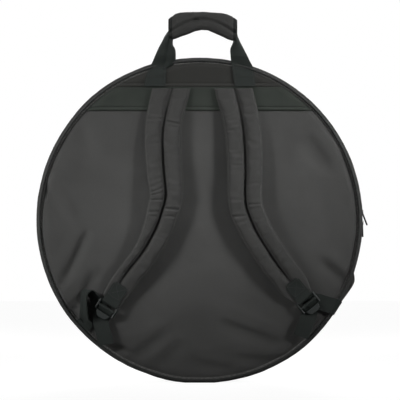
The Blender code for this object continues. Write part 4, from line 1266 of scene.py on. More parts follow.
core_rings = []
for x in np.linspace(GRIP_START + 2 * MM, GRIP_END - 2 * MM, 30):
    top, low = grip_heights(x)
    middle, tall = (top + low) / 2 + 1.0 * MM, min(0.0105, (top - low) * 0.24)
    front = [(x, HANDLE_Y - WEB / 2, CENTRE_Z + middle + tall * s) for s in np.linspace(-1, 1, 7)]
    back = [(x, LAYER_Y + WEB / 2, CENTRE_Z + middle + tall * s) for s in np.linspace(1, -1, 7)]
    core_rings.append(front + back)
make_skin("grip_core", core_rings, webbing_weave, "carry_handle", "webbing", "handle_webbing_back")
flap = box_strip("grip_closing_flap", "grip_flap", strap_cloth, "strap_cloth", "grip_flap",
                 1.6 * MM)
box_strip("hook_strip", "grip_hook_tape", pile, "hook_and_loop", "grip_flap", 0.2 * MM)
box_strip("loop_strip", "grip_loop_tape", pile, "hook_and_loop", "carry_handle", 0.2 * MM)


def handle_edge(table, edge, height):
    """Where the stitches run beside the left edge, 1, or the right edge, 2, of a strand."""
    return read_off(table, height, edge) + (2.4 * MM if edge == 1 else -2.4 * MM)


for table in HANDLE_STRANDS.values():
    rows = [[(handle_edge(table, edge, h), h) for h in np.linspace(0.2440, 0.2850, 12)]
            for edge in (1, 2)]
    rows += [[(x, h) for x in np.linspace(handle_edge(table, 1, h), handle_edge(table, 2, h), 8)]
             for h in (0.2440, 0.2600, 0.2760)]
    for row in rows:
        stitch_row("back_shell", [(x, HANDLE_Y - WEB / 2 + relief(x, h) * 0.6, CENTRE_Z + h)
                                  for x, h in row])
print("grip core, flap and tapes ready")

# %% [markdown]
# ## The shoulder straps
# A strap is foam in a cloth tube, sewn flat along its middle and bound at its edges. The
# cloth between the seams is longer than the seams, so it puffs up and wrinkles. That is
# what a cloth simulation does well: the seams are pinned and air pressure stands for foam.

# %% Strap lines
# Centre lines from the bag's centre, as shares of its radius, from top to end
STRAP_LINES = {
    "left": (
        (-0.170, 0.807), (-0.209, 0.646), (-0.222, 0.499), (-0.212, 0.304), (-0.200, 0.157),
        (-0.222, 0.059), (-0.256, -0.054), (-0.325, -0.195), (-0.408, -0.305), (-0.474, -0.392),
        (-0.530, -0.478),
    ),
    "right": (
        (0.205, 0.807), (0.248, 0.646), (0.269, 0.499), (0.277, 0.304), (0.277, 0.141),
        (0.296, 0.043), (0.358, -0.087), (0.452, -0.234), (0.520, -0.325), (0.574, -0.393),
        (0.622, -0.452),
    ),
}
STRAP_WIDTHS = {
    "left": (68, 66, 65.3, 64.6, 59.8, 57.1, 53, 46.9, 44.9, 43.5, 38.1),
    "right": (68, 66, 65.3, 63.2, 61.2, 59.8, 57.8, 56.4, 55.1, 53, 39.4),
}
# Where the sewn channel lies across the strap: 0 is its middle, 1 its right edge
CHANNEL_SHIFT = {
    "left": (0.03, 0.02, -0.03, -0.04, -0.06, -0.08, -0.16, -0.30, -0.34, -0.22, -0.10),
    "right": (0.07, 0.05, 0.03, 0.03, 0.02, 0.02, 0.02, 0.0, -0.02, -0.02, 0.0),
}
STRAP_LIFT = (0.0, 1.4, 4.8, 9.0, 12.0, 12.0, 11.4, 10.2, 9.0, 8.2, 7.4)
STRAP_THICK = (7.7, 12.6, 14.0, 14.0, 14.0, 14.0, 14.0, 13.5, 11.9, 6.4, 5.0)
SEWN_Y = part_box("strap_pad_left")[1][1]
STRAP_COUNT = 150
BIND = 3.0 * MM
BIND_TALL = 4.2 * MM


class StrapLine:
    """A strap's centres, directions and sizes at many stations."""

    def __init__(self, side):
        self.side = side
        line = smooth_curve(STRAP_LINES[side], STRAP_COUNT) * RADIUS
        self.x, self.z = line[:, 0], CENTRE_Z + line[:, 1]
        self.width = smooth_curve(STRAP_WIDTHS[side], STRAP_COUNT)[:, 0] * MM
        self.shift = smooth_curve(CHANNEL_SHIFT[side], STRAP_COUNT)[:, 0]
        self.back = SEWN_Y - smooth_curve(STRAP_LIFT, STRAP_COUNT)[:, 0] * MM
        self.thick = smooth_curve(STRAP_THICK, STRAP_COUNT)[:, 0] * MM
        run = np.gradient(np.stack([self.x, self.z], axis=1), axis=0)
        run /= np.linalg.norm(run, axis=1)[:, None]
        run[:3] = (0.0, -1.0)
        self.run = run
        steps = np.hypot(np.diff(self.x), np.diff(self.z))
        self.far = np.concatenate([[0.0], np.cumsum(steps)])
        self.length = self.far[-1]

    def point(self, k, way, height):
        """A point some way across the strap, to the right, and some height off its back."""
        across = (-self.run[k, 1], self.run[k, 0])
        return (self.x[k] + across[0] * way, self.back[k] - height, self.z[k] + across[1] * way)

    def station(self, up):
        """The station nearest to a distance up from the strap's end."""
        return int(np.argmin(np.abs(self.far - (self.length - up))))

    def end_frame(self):
        """At the strap's end: its middle, the way down the strap and the way across."""
        down = Vector((self.run[-1, 0], 0.0, self.run[-1, 1]))
        across = Vector((-down.z, 0.0, down.x))
        return Vector(self.point(-1, 0.0, self.thick[-1] / 2)), down, across


STRAPS = {side: StrapLine(side) for side in ("left", "right")}
for side, line in STRAPS.items():
    print(side, "strap", round(line.length / MM), "mm long")

# %% Puffing up a sewn pad
PUFF_FRAMES = 20
PUFF_CAP = 2.0 * MM
PUFF_SETTINGS = {
    "vertex_group_mass": "seams", "quality": 6, "mass": 0.25, "tension_stiffness": 12.0,
    "compression_stiffness": 12.0, "shear_stiffness": 4.0, "bending_stiffness": 0.4,
    "use_pressure": True, "uniform_pressure_force": 2.5, "shrink_min": -0.02,
}


def puff(piece, pinned):
    """Air pressure in a pad whose seams are pinned; no point moves further than the cap."""
    scene = bpy.context.scene
    seams = piece.vertex_groups.new(name="seams")
    seams.add([int(i) for i in pinned], 1.0, "REPLACE")
    cloth = piece.modifiers.new("puff", "CLOTH")
    for key, value in PUFF_SETTINGS.items():
        setattr(cloth.settings, key, value)
    cloth.settings.effector_weights.gravity = 0.0
    cloth.collision_settings.use_collision = False
    cloth.point_cache.frame_start, cloth.point_cache.frame_end = 1, PUFF_FRAMES
    for step in range(1, PUFF_FRAMES + 1):
        scene.frame_set(step)
    view = bpy.context.evaluated_depsgraph_get()
    count = len(piece.data.vertices)
    before, after = np.empty(count * 3), np.empty(count * 3)
    piece.data.vertices.foreach_get("co", before)
    piece.evaluated_get(view).data.vertices.foreach_get("co", after)
    piece.modifiers.remove(cloth)
    piece.vertex_groups.remove(seams)
    scene.frame_set(1)
    move = (after - before).reshape(-1, 3)
    reach = np.linalg.norm(move, axis=1)
    move *= np.minimum(1.0, PUFF_CAP / np.maximum(reach, 1e-9))[:, None]
    piece.data.vertices.foreach_set("co", (before.reshape(-1, 3) + move).ravel())
    piece.data.update()
    return float(np.minimum(reach, PUFF_CAP).max())


def subdivide_once(piece):
    """One subdivision, applied to the mesh."""
    smoother = piece.modifiers.new("smooth", "SUBSURF")
    smoother.levels = smoother.render_levels = 1
    view = bpy.context.evaluated_depsgraph_get()
    fine = bpy.data.meshes.new_from_object(piece.evaluated_get(view))
    piece.modifiers.remove(smoother)
    piece.data = fine
    fine.name = piece.name


# %% Strap pads
PAD_THICK = 14 * MM
LOBE_POINTS = 12
PAD_ACROSS = 2 * LOBE_POINTS + 3
PAD_UNDER = 9
LOBE_SQUARE = 2.7
LOBE_OVERHANG = 0.8 * MM
GROOVE_LEAST = 1.6 * MM
GROOVE_MORE = 0.9 * MM
WRINKLE_SCALE = 2.1
CREASE_SIZE = 9 * MM
CREASE_DEPTH = 0.8 * MM
PINNED_END = 0.046
TUCK = 1.0 * MM
# Wrinkles: share of the strap's length, lobe, depth in mm, half width in mm, and lean
WRINKLES = {
    "left": ((0.145, -1, 1.3, 1.8, 0.10), (0.152, 1, 1.5, 1.9, -0.06), (0.245, -1, 0.5, 2.2, 0.10),
             (0.30, 1, 0.5, 2.4, -0.20), (0.40, -1, 0.7, 2.0, 0.25), (0.425, -1, 0.9, 1.8, 0.30),
             (0.45, -1, 0.9, 1.8, 0.35), (0.47, -1, 0.8, 2.0, 0.40), (0.44, 1, 0.5, 2.2, -0.10),
             (0.505, -1, 1.2, 2.2, 0.35), (0.53, 1, 1.3, 2.2, 0.20), (0.56, -1, 0.9, 2.4, 0.25),
             (0.565, 1, 0.8, 2.2, 0.20), (0.66, 1, 0.5, 2.6, 0.10), (0.74, -1, 0.6, 2.6, 0.10)),
    "right": ((0.12, -1, 0.5, 2.0, 0.10), (0.165, -1, 0.4, 2.2, 0.05), (0.30, -1, 0.8, 2.0, -0.05),
              (0.325, -1, 0.9, 1.8, -0.10), (0.35, -1, 0.6, 2.2, 0.10), (0.43, 1, 0.4, 2.6, 0.10),
              (0.50, -1, 0.6, 2.2, -0.10), (0.53, 1, 0.6, 2.4, -0.15), (0.565, -1, 0.9, 2.0, -0.20),
              (0.59, -1, 0.8, 2.2, -0.15), (0.63, 1, 0.5, 2.6, -0.10), (0.70, -1, 0.5, 2.8, -0.10),
              (0.80, 1, 0.5, 2.6, 0.0)),
}


def pad_profile(half, shift, thick):
    """Points across the pad's face, as a way and a height: two lobes beside a sunk seam."""
    flat = 1.0 - thick / PAD_THICK
    seam = shift * half
    low, floor, top = min(3.4 * MM, thick * 0.7), thick * (0.16 + 0.10 * flat), thick * 0.93
    gap = GROOVE_LEAST + GROOVE_MORE * thick / PAD_THICK
    points = [(-half, low - 0.5 * MM)]
    lobes = ((-half - LOBE_OVERHANG, seam - gap), (seam + gap, half + LOBE_OVERHANG))
    for n, (start, end) in enumerate(lobes):
        middle, reach = (start + end) / 2, (end - start) / 2
        for k in range(LOBE_POINTS):
            turn = math.pi * (k + 0.25) / (LOBE_POINTS - 0.5)
            way = -math.copysign(abs(math.cos(turn)) ** (2 / LOBE_SQUARE), math.cos(turn))
            foot = low if (way < 0) == (n == 0) else floor
            rise = (top - foot) * math.sin(turn) ** (2 / LOBE_SQUARE)
            points.append((middle + way * reach, foot + rise))
        if n == 0:
            points.append((seam, floor - 0.6 * MM))
    points.append((half, low - 0.5 * MM))
    return points


def wrinkle(line, k, way, half):
    """How deep the wrinkles are at a place on the strap."""
    depth = 0.0
    lobe = -1 if way < line.shift[k] * half else 1
    for share, side, deep, wide, lean in WRINKLES[line.side]:
        off = (line.far[k] - share * line.length + lean * (way - side * half / 2)) / (wide * MM)
        if side == lobe and abs(off) < 4.0:
            crest = math.exp(-((abs(off) - 1.8) ** 2))
            depth += deep * WRINKLE_SCALE * MM * (math.exp(-off * off) - 0.45 * crest)
    crease = noise.noise(Vector((line.far[k] / CREASE_SIZE, way / (2.2 * CREASE_SIZE), lobe * 3.0)))
    return depth + CREASE_DEPTH * crease


def make_pad(line):
    rings, pins = [], []
    size = PAD_ACROSS + PAD_UNDER
    for k in range(STRAP_COUNT):
        half = line.width[k] / 2 - BIND + TUCK
        loop = []
        for way, height in pad_profile(half, line.shift[k], line.thick[k]):
            full = min(max((height - 5.0 * MM) / (6.0 * MM), 0.0), 1.0)
            loop.append(line.point(k, way, height - wrinkle(line, k, way, half) * full))
        loop += [line.point(k, half * (1 - 2 * s), 0.2 * MM)
                 for s in np.linspace(0.0, 1.0, PAD_UNDER)]
        base = k * size
        if line.length - line.far[k] < PINNED_END or k == 0:
            pins += range(base, base + size)
        else:
            seam = base + LOBE_POINTS + 1
            pins += [base, seam - 1, seam, seam + 1, base + PAD_ACROSS - 1]
            pins += range(base + PAD_ACROSS, base + size)
        rings.append(loop)
    name = f"strap_padding_{line.side}"
    pad = make_skin(name, rings, strap_cloth, f"shoulder_strap_{line.side}", "strap_cloth",
                    f"strap_pad_{line.side}")
    print(name, "puffed up by", round(puff(pad, pins) / MM, 1), "mm")
    subdivide_once(pad)


def make_binding(line):
    """The tape folded over the strap's edge, down one side, round the end and up the other."""
    path = [(k, -1.0, 0.0) for k in range(0, STRAP_COUNT, 2)]
    path += [(STRAP_COUNT - 1, s, BIND * 0.9) for s in (-0.94, -0.6, 0.0, 0.6, 0.94)]
    path += [(k, 1.0, 0.0) for k in range(STRAP_COUNT - 2, -1, -2)]
    spots = []
    for k, side, drop in path:
        half = line.width[k] / 2 - BIND / 2
        run = Vector((line.run[k, 0], 0.0, line.run[k, 1]))
        spots.append(Vector(line.point(k, side * half, 0.0)) + run * drop)
    rings = []
    for i, spot in enumerate(spots):
        ahead, behind = spots[min(i + 1, len(spots) - 1)], spots[max(i - 1, 0)]
        run = ahead - behind
        run.y = 0.0
        run.normalize()
        away = Vector((run.z, 0.0, -run.x))
        k = path[i][0]
        tall = min(BIND_TALL, line.thick[k]) * (1.0 + 0.05 * noise.noise(spot * 60.0))
        loop = []
        for turn in (2 * math.pi * n / 10 for n in range(10)):
            wide, high = math.cos(turn), math.sin(turn)
            fat = (abs(wide) ** 3 + abs(high) ** 3) ** (-1 / 3)
            loop.append(spot + away * (wide * fat * BIND / 2)
                        + Vector((0.0, -tall / 2 * (1 + high * fat), 0.0)))
        rings.append(loop)
    make_skin(f"strap_binding_{line.side}", rings, edge_tape, f"shoulder_strap_{line.side}",
              "edge_tape", f"strap_edge_tape_{line.side}")


def pad_stitches(line):
    """A row in the channel and one beside each bound edge."""
    body = f"shoulder_strap_{line.side}"
    path = []
    for k in range(2, STRAP_COUNT - 12, 2):
        half = line.width[k] / 2 - BIND + TUCK
        way, height = pad_profile(half, line.shift[k], line.thick[k])[LOBE_POINTS + 1]
        path.append(line.point(k, way, height + 0.35 * MM))
    stitch_row(body, path)
    for side in (-1.0, 1.0):
        stitch_row(body, [line.point(k, side * (line.width[k] / 2 - BIND * 0.75),
                                     min(BIND_TALL, line.thick[k]) + 0.05 * MM)
                          for k in range(1, STRAP_COUNT - 1, 2)])


for line in STRAPS.values():
    make_pad(line)
    make_binding(line)
    pad_stitches(line)
print("strap pads ready")

# %% [markdown]
# ## Buckles, tabs and adjusting webbing
# A tab of webbing holds the ladder lock on the strap's end. The lower webbing comes from
# the side wall, goes round the lock's bars and hangs out as a loose tail. The lock is built
# from its outline and thickness. The zip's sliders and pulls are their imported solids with
# the edges rounded.

# %% Ribbons and rounded copies
RIBBON_ACROSS = 9


def ribbon_rings(places, width, count, cup, wave=0.0, round_start=0.0):
    """Webbing through places, each a centre and the direction of its width."""
    centres = smooth_curve([p for p, _ in places], count)
    wides = smooth_curve([w for _, w in places], count)
    rings, gone = [], 0.0
    for k in range(count):
        centre, wide = Vector(centres[k]), Vector(wides[k])
        run = Vector(centres[min(k + 1, count - 1)] - centres[max(k - 1, 0)]).normalized()
        wide = (wide - run * wide.dot(run)).normalized()
        lift = run.cross(wide).normalized()
        gone += (centre - Vector(centres[max(k - 1, 0)])).length
        short = max(round_start - gone, 0.0)
        half = width / 2 - round_start * 0.7 * (short / max(round_start, MM)) ** 2
        top, bottom = [], []
        for n in range(RIBBON_ACROSS):
            s = 2.0 * n / (RIBBON_ACROSS - 1) - 1.0
            edge = 0.2 * MM if abs(s) > 0.8 else 0.0
            ripple = wave * noise.noise(centre * 45.0 + Vector((s * 1.5, 0.0, 0.0)))
            spot = centre + wide * (s * half) + lift * (cup * (s * s - 0.5) + ripple)
            top.append(spot + lift * (WEB / 2 + edge))
            bottom.append(spot - lift * (WEB / 2 + edge))
        rings.append(top + bottom[::-1])
    return rings


def rounded_copy(name, node, width, fuller=1.0):
    """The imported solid, rounded as casting leaves it, and fuller along its thinnest way."""
    mesh = bpy.data.objects[frame["nodes"][node].name].data.copy()
    mesh.name = name
    shape = bmesh.new()
    shape.from_mesh(mesh)
    bmesh.ops.remove_doubles(shape, verts=shape.verts, dist=0.02 * MM)
    bmesh.ops.dissolve_limit(shape, angle_limit=math.radians(3.0), verts=shape.verts,
                             edges=shape.edges)
    sharp = [edge for edge in shape.edges
             if len(edge.link_faces) == 2 and edge.calc_face_angle(0.0) > math.radians(25.0)]
    bmesh.ops.bevel(shape, geom=sharp, offset=width, offset_type="OFFSET", segments=2, profile=0.6,
                    affect="EDGES", clamp_overlap=True)
    spots = np.array([v.co for v in shape.verts])
    middle = spots.mean(axis=0)
    thin = np.linalg.svd(spots - middle, full_matrices=False)[2][-1]
    for vertex, far in zip(shape.verts, (spots - middle) @ thin):
        vertex.co += Vector(thin * far * (fuller - 1.0))
    shape.to_mesh(mesh)
    shape.free()
    enter(name, mesh, slider_metal, 40.0, node, node)


for which in ("upper", "lower"):
    rounded_copy(f"slider_{which}", f"zip_slider_{which}", 0.22 * MM)
    rounded_copy(f"pull_{which}", f"zip_pull_{which}", 0.3 * MM, fuller=1.8)
print("sliders and pulls rounded")

# %% Strap end tabs
TAB_WIDTH = 29 * MM
TAB_UP = 30 * MM
TAB_SUNK = 1.0 * MM
TAB_SEAM_INSET = 2.5 * MM
WEBBING_WIDTH = 28 * MM
LOOP_RADIUS = 3.4 * MM
# From the strap's end to the middle of the buckle's top bar
LOCK_START = 9.15 * MM


def lock_frame(side):
    """The middle of the buckle's top bar, the way down and the way across it."""
    end, down, across = STRAPS[side].end_frame()
    return end + down * LOCK_START, down, across


def tab_level(line, up):
    """The level of the tab on the strap's face, at a distance up from the strap's end."""
    far = line.length - up
    back = float(np.interp(far, line.far, line.back))
    return back - float(np.interp(far, line.far, line.thick)) * 0.9 - TAB_SUNK


def tab_corner(line, share, sign):
    up = TAB_UP * share
    x, _, z = line.point(line.station(up), sign * (TAB_WIDTH / 2 - TAB_SEAM_INSET), 0.0)
    return Vector((x, tab_level(line, up) - WEB / 2 - 0.1 * MM, z))


# The sewn box on the tab: how far up its two ends lie, as shares, and its stitches' spacing
BOX_SHARES = (0.92, 0.16)
BOX_PITCH = 2.9 * MM


def make_tab(side):
    start, down, across = lock_frame(side)
    line, body = STRAPS[side], f"shoulder_strap_{side}"
    places = []
    for share in np.linspace(1.0, 0.0, 7):
        k = line.station(TAB_UP * share)
        spot = Vector((line.x[k], tab_level(line, TAB_UP * share), line.z[k]))
        places.append((spot, Vector((-line.run[k, 1], 0.0, line.run[k, 0]))))
    for degrees in (90, 45, 0, -45, -90):
        turn = math.radians(degrees)
        way = down * math.cos(turn) - Vector((0.0, math.sin(turn), 0.0))
        places.append((start + way * LOOP_RADIUS, across))
    places.append((start - down * 4.5 * MM + Vector((0.0, LOOP_RADIUS, 0.0)), across))
    places.append((start - down * 6.5 * MM + Vector((0.0, 2.4 * MM, 0.0)), across))
    rings = ribbon_rings(places, TAB_WIDTH, 90, cup=0.25 * MM, round_start=7.0 * MM)
    make_skin(f"end_tab_webbing_{side}", rings, webbing_weave, body, "webbing",
              f"strap_end_tab_{side}")
    tops, lows = ([tab_corner(line, share, sign) for sign in (-1.0, 1.0)] for share in BOX_SHARES)
    box = (tops[0], tops[1], lows[1], lows[0], tops[0], lows[1])
    for ends in (*zip(box, box[1:]), (tops[1], lows[0])):
        stitch_row(body, ends, pitch=BOX_PITCH)


for side in STRAPS:
    make_tab(side)
print("tabs ready")

# %% Moulded buckles
LOCK_WIDTH = 40 * MM
LOCK_LENGTH = 34 * MM
LOCK_RAIL = 4.5 * MM
LOCK_BAR = 4.5 * MM
LOCK_TOP_BAR = 3.4 * MM
LOCK_THICK = 5.0 * MM
LOCK_ROUND = 2.0 * MM
TONGUE_START = 19.4 * MM
# The bend of the tongue's tip, and the thinnest that a rounded edge gets
TONGUE_BEND = 1.1 * MM
EDGE_SHARE = 0.30
# Where the two windows lie along the buckle
WINDOW = (LOCK_LENGTH - 3 * LOCK_BAR) / 3
WINDOWS = ((LOCK_TOP_BAR / 2, LOCK_BAR / 2 + WINDOW),
           (1.5 * LOCK_BAR + WINDOW, 1.5 * LOCK_BAR + 2 * WINDOW))
LOCK_TIP = LOCK_LENGTH - LOCK_BAR / 2
# Half the tongue's width, the share of it over which the shoulders run in, and where it
# starts to round off; then the round top corners
WAIST, SHOULDER_SHARE, TIP_SHARE = 13.4 * MM, 0.22, 0.10
CORNER_LONG, CORNER_WIDE = 2.2 * MM, 1.6 * MM


def lock_half_width(s):
    """Half the buckle's width at a distance down it: straight rails, then a round tongue."""
    if s < TONGUE_START:
        corner = min(max((s + LOCK_TOP_BAR / 2) / CORNER_LONG, 0.0), 1.0)
        return LOCK_WIDTH / 2 - CORNER_WIDE * (1.0 - math.sqrt(1.0 - (1.0 - corner) ** 2))
    share = (s - TONGUE_START) / (LOCK_TIP - TONGUE_START)
    shoulder = min(share / SHOULDER_SHARE, 1.0)
    wide = WAIST + (LOCK_WIDTH / 2 - WAIST) * (1.0 + math.cos(math.pi * shoulder)) / 2
    return wide * math.sqrt(max(1.0 - max(share - TIP_SHARE, 0.0) ** 2.4 * 1.18, 0.02))


def lock_thickness(s, w):
    """Half the thickness at a place, rounded towards every edge."""
    edge = min(s + LOCK_TOP_BAR / 2, LOCK_TIP - s, lock_half_width(s) - abs(w))
    for low, high in WINDOWS:
        edge = min(edge, max(low - s, s - high, abs(w) - (LOCK_WIDTH / 2 - LOCK_RAIL), 0.0))
    share = min(max(edge, 0.0) / LOCK_ROUND, 1.0)
    rounded = math.sqrt(1.0 - (1.0 - share) ** 2)
    thick = LOCK_THICK / 2 * (EDGE_SHARE + (1.0 - EDGE_SHARE) * rounded)
    if s < LOCK_BAR:
        slim = LOCK_TOP_BAR / LOCK_THICK
        thick *= slim + (1.0 - slim) * max(abs(w) / 18.0 / MM - 0.6, 0.0)
    return thick


def fine_lines(marks, step):
    """The marks with evenly spaced lines between them, no further apart than a step."""
    lines = []
    for low, high in zip(marks, marks[1:]):
        count = max(int(math.ceil((high - low) / step)), 1)
        lines += [low + (high - low) * k / count for k in range(count)]
    return lines + [marks[-1]]


def make_buckle(side):
    """A ladder lock: rails, a top bar, a middle bar and a round tongue that bends outward."""
    start, down, across = lock_frame(side)
    rail = LOCK_WIDTH / 2 - LOCK_RAIL
    rows = fine_lines([-LOCK_TOP_BAR / 2, *WINDOWS[0], *WINDOWS[1], LOCK_TIP], 0.9 * MM)
    columns = fine_lines([-1.0, -rail / (LOCK_WIDTH / 2), rail / (LOCK_WIDTH / 2), 1.0], 0.05)
    spots, corner = [], {}

    def vertex(i, j, face):
        key = (i, j, face)
        if key not in corner:
            s, share = rows[i], columns[j]
            w = share * (LOCK_WIDTH / 2)
            half = lock_half_width(s)
            if s > WINDOWS[1][1] or abs(share) > 0.9:
                w = share * half
            bend = TONGUE_BEND * max((s - TONGUE_START) / (LOCK_TIP - TONGUE_START), 0.0) ** 2
            level = lock_thickness(s, w) * face
            spots.append(start + down * s + across * w - Vector((0.0, level + bend, 0.0)))
            corner[key] = len(spots) - 1
        return corner[key]

    def solid(i, j):
        if not (0 <= i < len(rows) - 1 and 0 <= j < len(columns) - 1):
            return False
        s = (rows[i] + rows[i + 1]) / 2
        w = abs(columns[j] + columns[j + 1]) / 2 * (LOCK_WIDTH / 2)
        return w > rail or not any(low < s < high for low, high in WINDOWS)

    faces = []
    for i in range(len(rows) - 1):
        for j in range(len(columns) - 1):
            if not solid(i, j):
                continue
            ring = ((i, j), (i, j + 1), (i + 1, j + 1), (i + 1, j))
            for face in (1, -1):
                faces.append([vertex(a, b, face) for a, b in (ring if face > 0 else ring[::-1])])
            beside = ((i - 1, j), (i, j + 1), (i + 1, j), (i, j - 1))
            for n, other in enumerate(beside):
                if not solid(*other):
                    a, b = ring[n], ring[(n + 1) % 4]
                    faces.append([vertex(*spot) for spot in
                                  ((*a, 1), (*a, -1), (*b, -1), (*b, 1))])
    make_piece(f"buckle_{side}", spots, faces, [(0.0, 0.0)] * len(spots), buckle_nylon,
               f"ladder_lock_{side}", "buckle_plastic", f"ladder_lock_{side}")


for side in STRAPS:
    make_buckle(side)
print("buckles ready:", len(PIECES["buckle_left"].data.vertices), "points each")

# %% Lower webbing, tails and wings
CROSSING_DEG = {"left": 222.0, "right": -32.5}
# The webbing's way onto the panel, as radii and depths: the left one comes from the seam and
# the right one over the piping
RIM_WAYS = {
    "left": tuple((PIPING_RADIUS - sunk * MM, BACK_FACE - rise * MM)
                  for sunk, rise in ((2.6, 0.2), (6.0, 2.2), (11.0, 4.6))),
    "right": tuple((RADIUS + rise * MM, y) for rise, y in
                   ((1.9, -0.009), (1.9, -0.020), (1.4, -0.029), (-1.5, -0.0358), (-7.0, -0.0398))),
}


def with_way(way, other):
    """A direction, turned round if it points against another."""
    return way if way.dot(other) >= 0 else -way


def over_the_rim(side):
    """Places on the webbing's way onto the panel, each with the direction of its width."""
    turn = math.radians(CROSSING_DEG[side])
    x, z = math.cos(turn), math.sin(turn)
    return [(Vector((reach * x, y, CENTRE_Z + reach * z)), Vector((-z, 0.0, x)))
            for reach, y in RIM_WAYS[side]]


# The slack loop beside the left buckle: places, with heights from the bag's centre, and the
# direction of the webbing's width
SLACK_LOOP = (
    ((-0.2070, -0.0425, -0.1760), (0.66, -0.55, -0.52)),
    ((-0.2078, -0.0485, -0.1630), (0.50, -0.80, -0.30)),
    ((-0.2080, -0.0510, -0.1450), (0.42, -0.90, -0.10)),
    ((-0.2060, -0.0505, -0.1300), (0.50, -0.86, 0.05)),
    ((-0.1990, -0.0480, -0.1255), (0.70, -0.70, -0.10)),
    ((-0.1920, -0.0450, -0.1340), (0.84, -0.45, -0.35)),
    ((-0.1840, -0.0425, -0.1455), (0.85, -0.15, -0.50)),
)


# Behind the buckle, in millimetres down it and back from its top bar: where the left webbing
# comes in, where the right one does, and where both go up to the bar
LEFT_ENTRY = ((26.0, 7.4), (18.0, 6.8))
RIGHT_ENTRY = (17.0, 6.8, 13.0)
TO_THE_BAR = ((11.5, 5.2), (8.2, 1.4))


def make_lower_webbing(side):
    start, down, across = lock_frame(side)
    outer = with_way(across, Vector((1.0, 0.0, 0.0)))

    def behind(far, deep, beside=0.0):
        """A place down the buckle, behind it and beside it, in millimetres."""
        return start + (down * far + outer * beside + Vector((0.0, deep, 0.0))) * MM

    crossing = over_the_rim(side)
    if side == "left":
        way = [(Vector(p) + Vector((0.0, 0.0, CENTRE_Z)), Vector(w)) for p, w in SLACK_LOOP]
        wide = with_way(across, way[-1][1])
        way += [(behind(*spot), wide) for spot in LEFT_ENTRY]
    else:
        beside = behind(*RIGHT_ENTRY)
        run = crossing[-1][0] - beside
        level = with_way(Vector((-run.z, 0.0, run.x)).normalized(), crossing[-1][1])
        wide = with_way(outer, level)
        way = [(beside + run * 0.45, level), (beside, level)]
    places = crossing + way + [(behind(*spot), wide) for spot in TO_THE_BAR]
    rings = ribbon_rings(places, WEBBING_WIDTH, 110, cup=0.4 * MM, wave=0.5 * MM)
    make_skin(f"adjusting_webbing_{side}", rings, webbing_weave,
              ("back_shell", f"shoulder_strap_{side}", crossing[-1][0], behind(22.0, 0.0)),
              "webbing", f"lower_webbing_{side}")


TAIL_LEAN = {"left": 0.25, "right": -0.40}
TAIL_DROP = {"left": 33 * MM, "right": 25 * MM}
TAIL_SHIFT = {"left": 0.0, "right": -7 * MM}
# Through the buckle, how far down it and out; then how far down from its tongue and back
TAIL_THROUGH = ((8.4, 0.4), (9.6, 2.9), (11.4, 3.7), (13.4, 2.9), (16.6, 0.6), (18.6, -1.6),
                (21.5, -3.6))
TAIL_BELOW = ((14.0, 5.2), (27.0, 3.4), (40.0, 2.6), (48.0, 2.0))


def make_tail(side):
    """The webbing's loose end: over the middle bar, under the tongue, and hanging down."""
    start, down, across = lock_frame(side)
    out = Vector((0.0, -1.0, 0.0))
    hang = Vector((TAIL_LEAN[side], 0.0, -1.0)).normalized()
    level = with_way(Vector((-hang.z, 0.0, hang.x)), across)
    over = start + down * TAIL_DROP[side] + out * 3.6 * MM
    over += with_way(across, Vector((1.0, 0.0, 0.0))) * TAIL_SHIFT[side]
    places = [(start + (down * far + out * rise) * MM, across) for far, rise in TAIL_THROUGH]
    places += [(over - down * 3.0 * MM - out * 7.6 * MM, across.lerp(level, 0.3)),
               (over + hang * 4.0 * MM - out * 7.0 * MM, across.lerp(level, 0.6))]
    places += [(over + (hang * far - out * back) * MM, level) for far, back in TAIL_BELOW]
    rings = ribbon_rings(places, WEBBING_WIDTH * 0.96, 90, cup=0.5 * MM, wave=0.7 * MM)
    make_skin(f"loose_tail_{side}", rings, webbing_weave,
              (f"ladder_lock_{side}", f"webbing_tail_{side}", places[5][0], places[8][0]),
              "webbing", f"webbing_tail_{side}")


WING_SPAN = (-19.0, -29.6)
WING_FOOT = 1.2 * MM
WING_RISE = 6.2 * MM
WING_ROUGH = 0.5 * MM
WING_SHARES = (0.0, 0.55, 0.92, 1.0, 0.9, 0.70, 0.52, 0.36, 0.20, 0.0)


def make_wing():
    """A folded cloth gusset on the side wall, next to where the right webbing is sewn."""
    low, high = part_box("strap_wing_right")
    first, last = WING_SPAN
    rises = smooth_curve(WING_SHARES, 34)[:, 0]
    rings = []
    for k, share in enumerate(rises):
        part = k / (len(rises) - 1)
        turn = math.radians(first + (last - first) * part)
        wide = (high[1] - low[1]) * (0.55 + 0.45 * part)
        tall = WING_FOOT + WING_RISE * max(float(share), 0.0)
        loop = []
        for s in (n / 14 for n in range(15)):
            arch = max(math.sin(math.pi * s), 0.0) ** 0.35
            rough = WING_ROUGH * noise.noise(Vector((turn * 40.0, s * 3.0, 1.0)))
            reach = RADIUS + 0.3 * MM + (tall + rough) * arch
            loop.append(rim_point(reach, turn, low[1] + wide * s))
        loop += [rim_point(RADIUS + 0.25 * MM, turn, low[1] + wide * s) for s in (0.75, 0.5, 0.25)]
        rings.append(loop)
    # painted shade: the wing takes the side wall's darkened cloth
    make_skin("anchor_wing", rings, wall_cloth, "back_shell", "shell_cloth", "strap_wing_right")


for side in STRAPS:
    make_lower_webbing(side)
    make_tail(side)
make_wing()
print("webbing, tails and wings ready")

# %% Thread
make_stitches()
print(len(PIECES), "pieces stand for", len(frame["nodes"]), "nodes")

# %% [markdown]
# ## Floor and light
# The floor is pale and takes the bag's shadow, but the camera sees it almost white, as in
# the photograph. Two small lamps at the sides each light mostly their own half of the panel
# and leave the soft shadows beside the straps. A third lights the handle and a fourth the
# other side. The background is white to the camera and in reflections, and adds hardly any
# light to the bag.

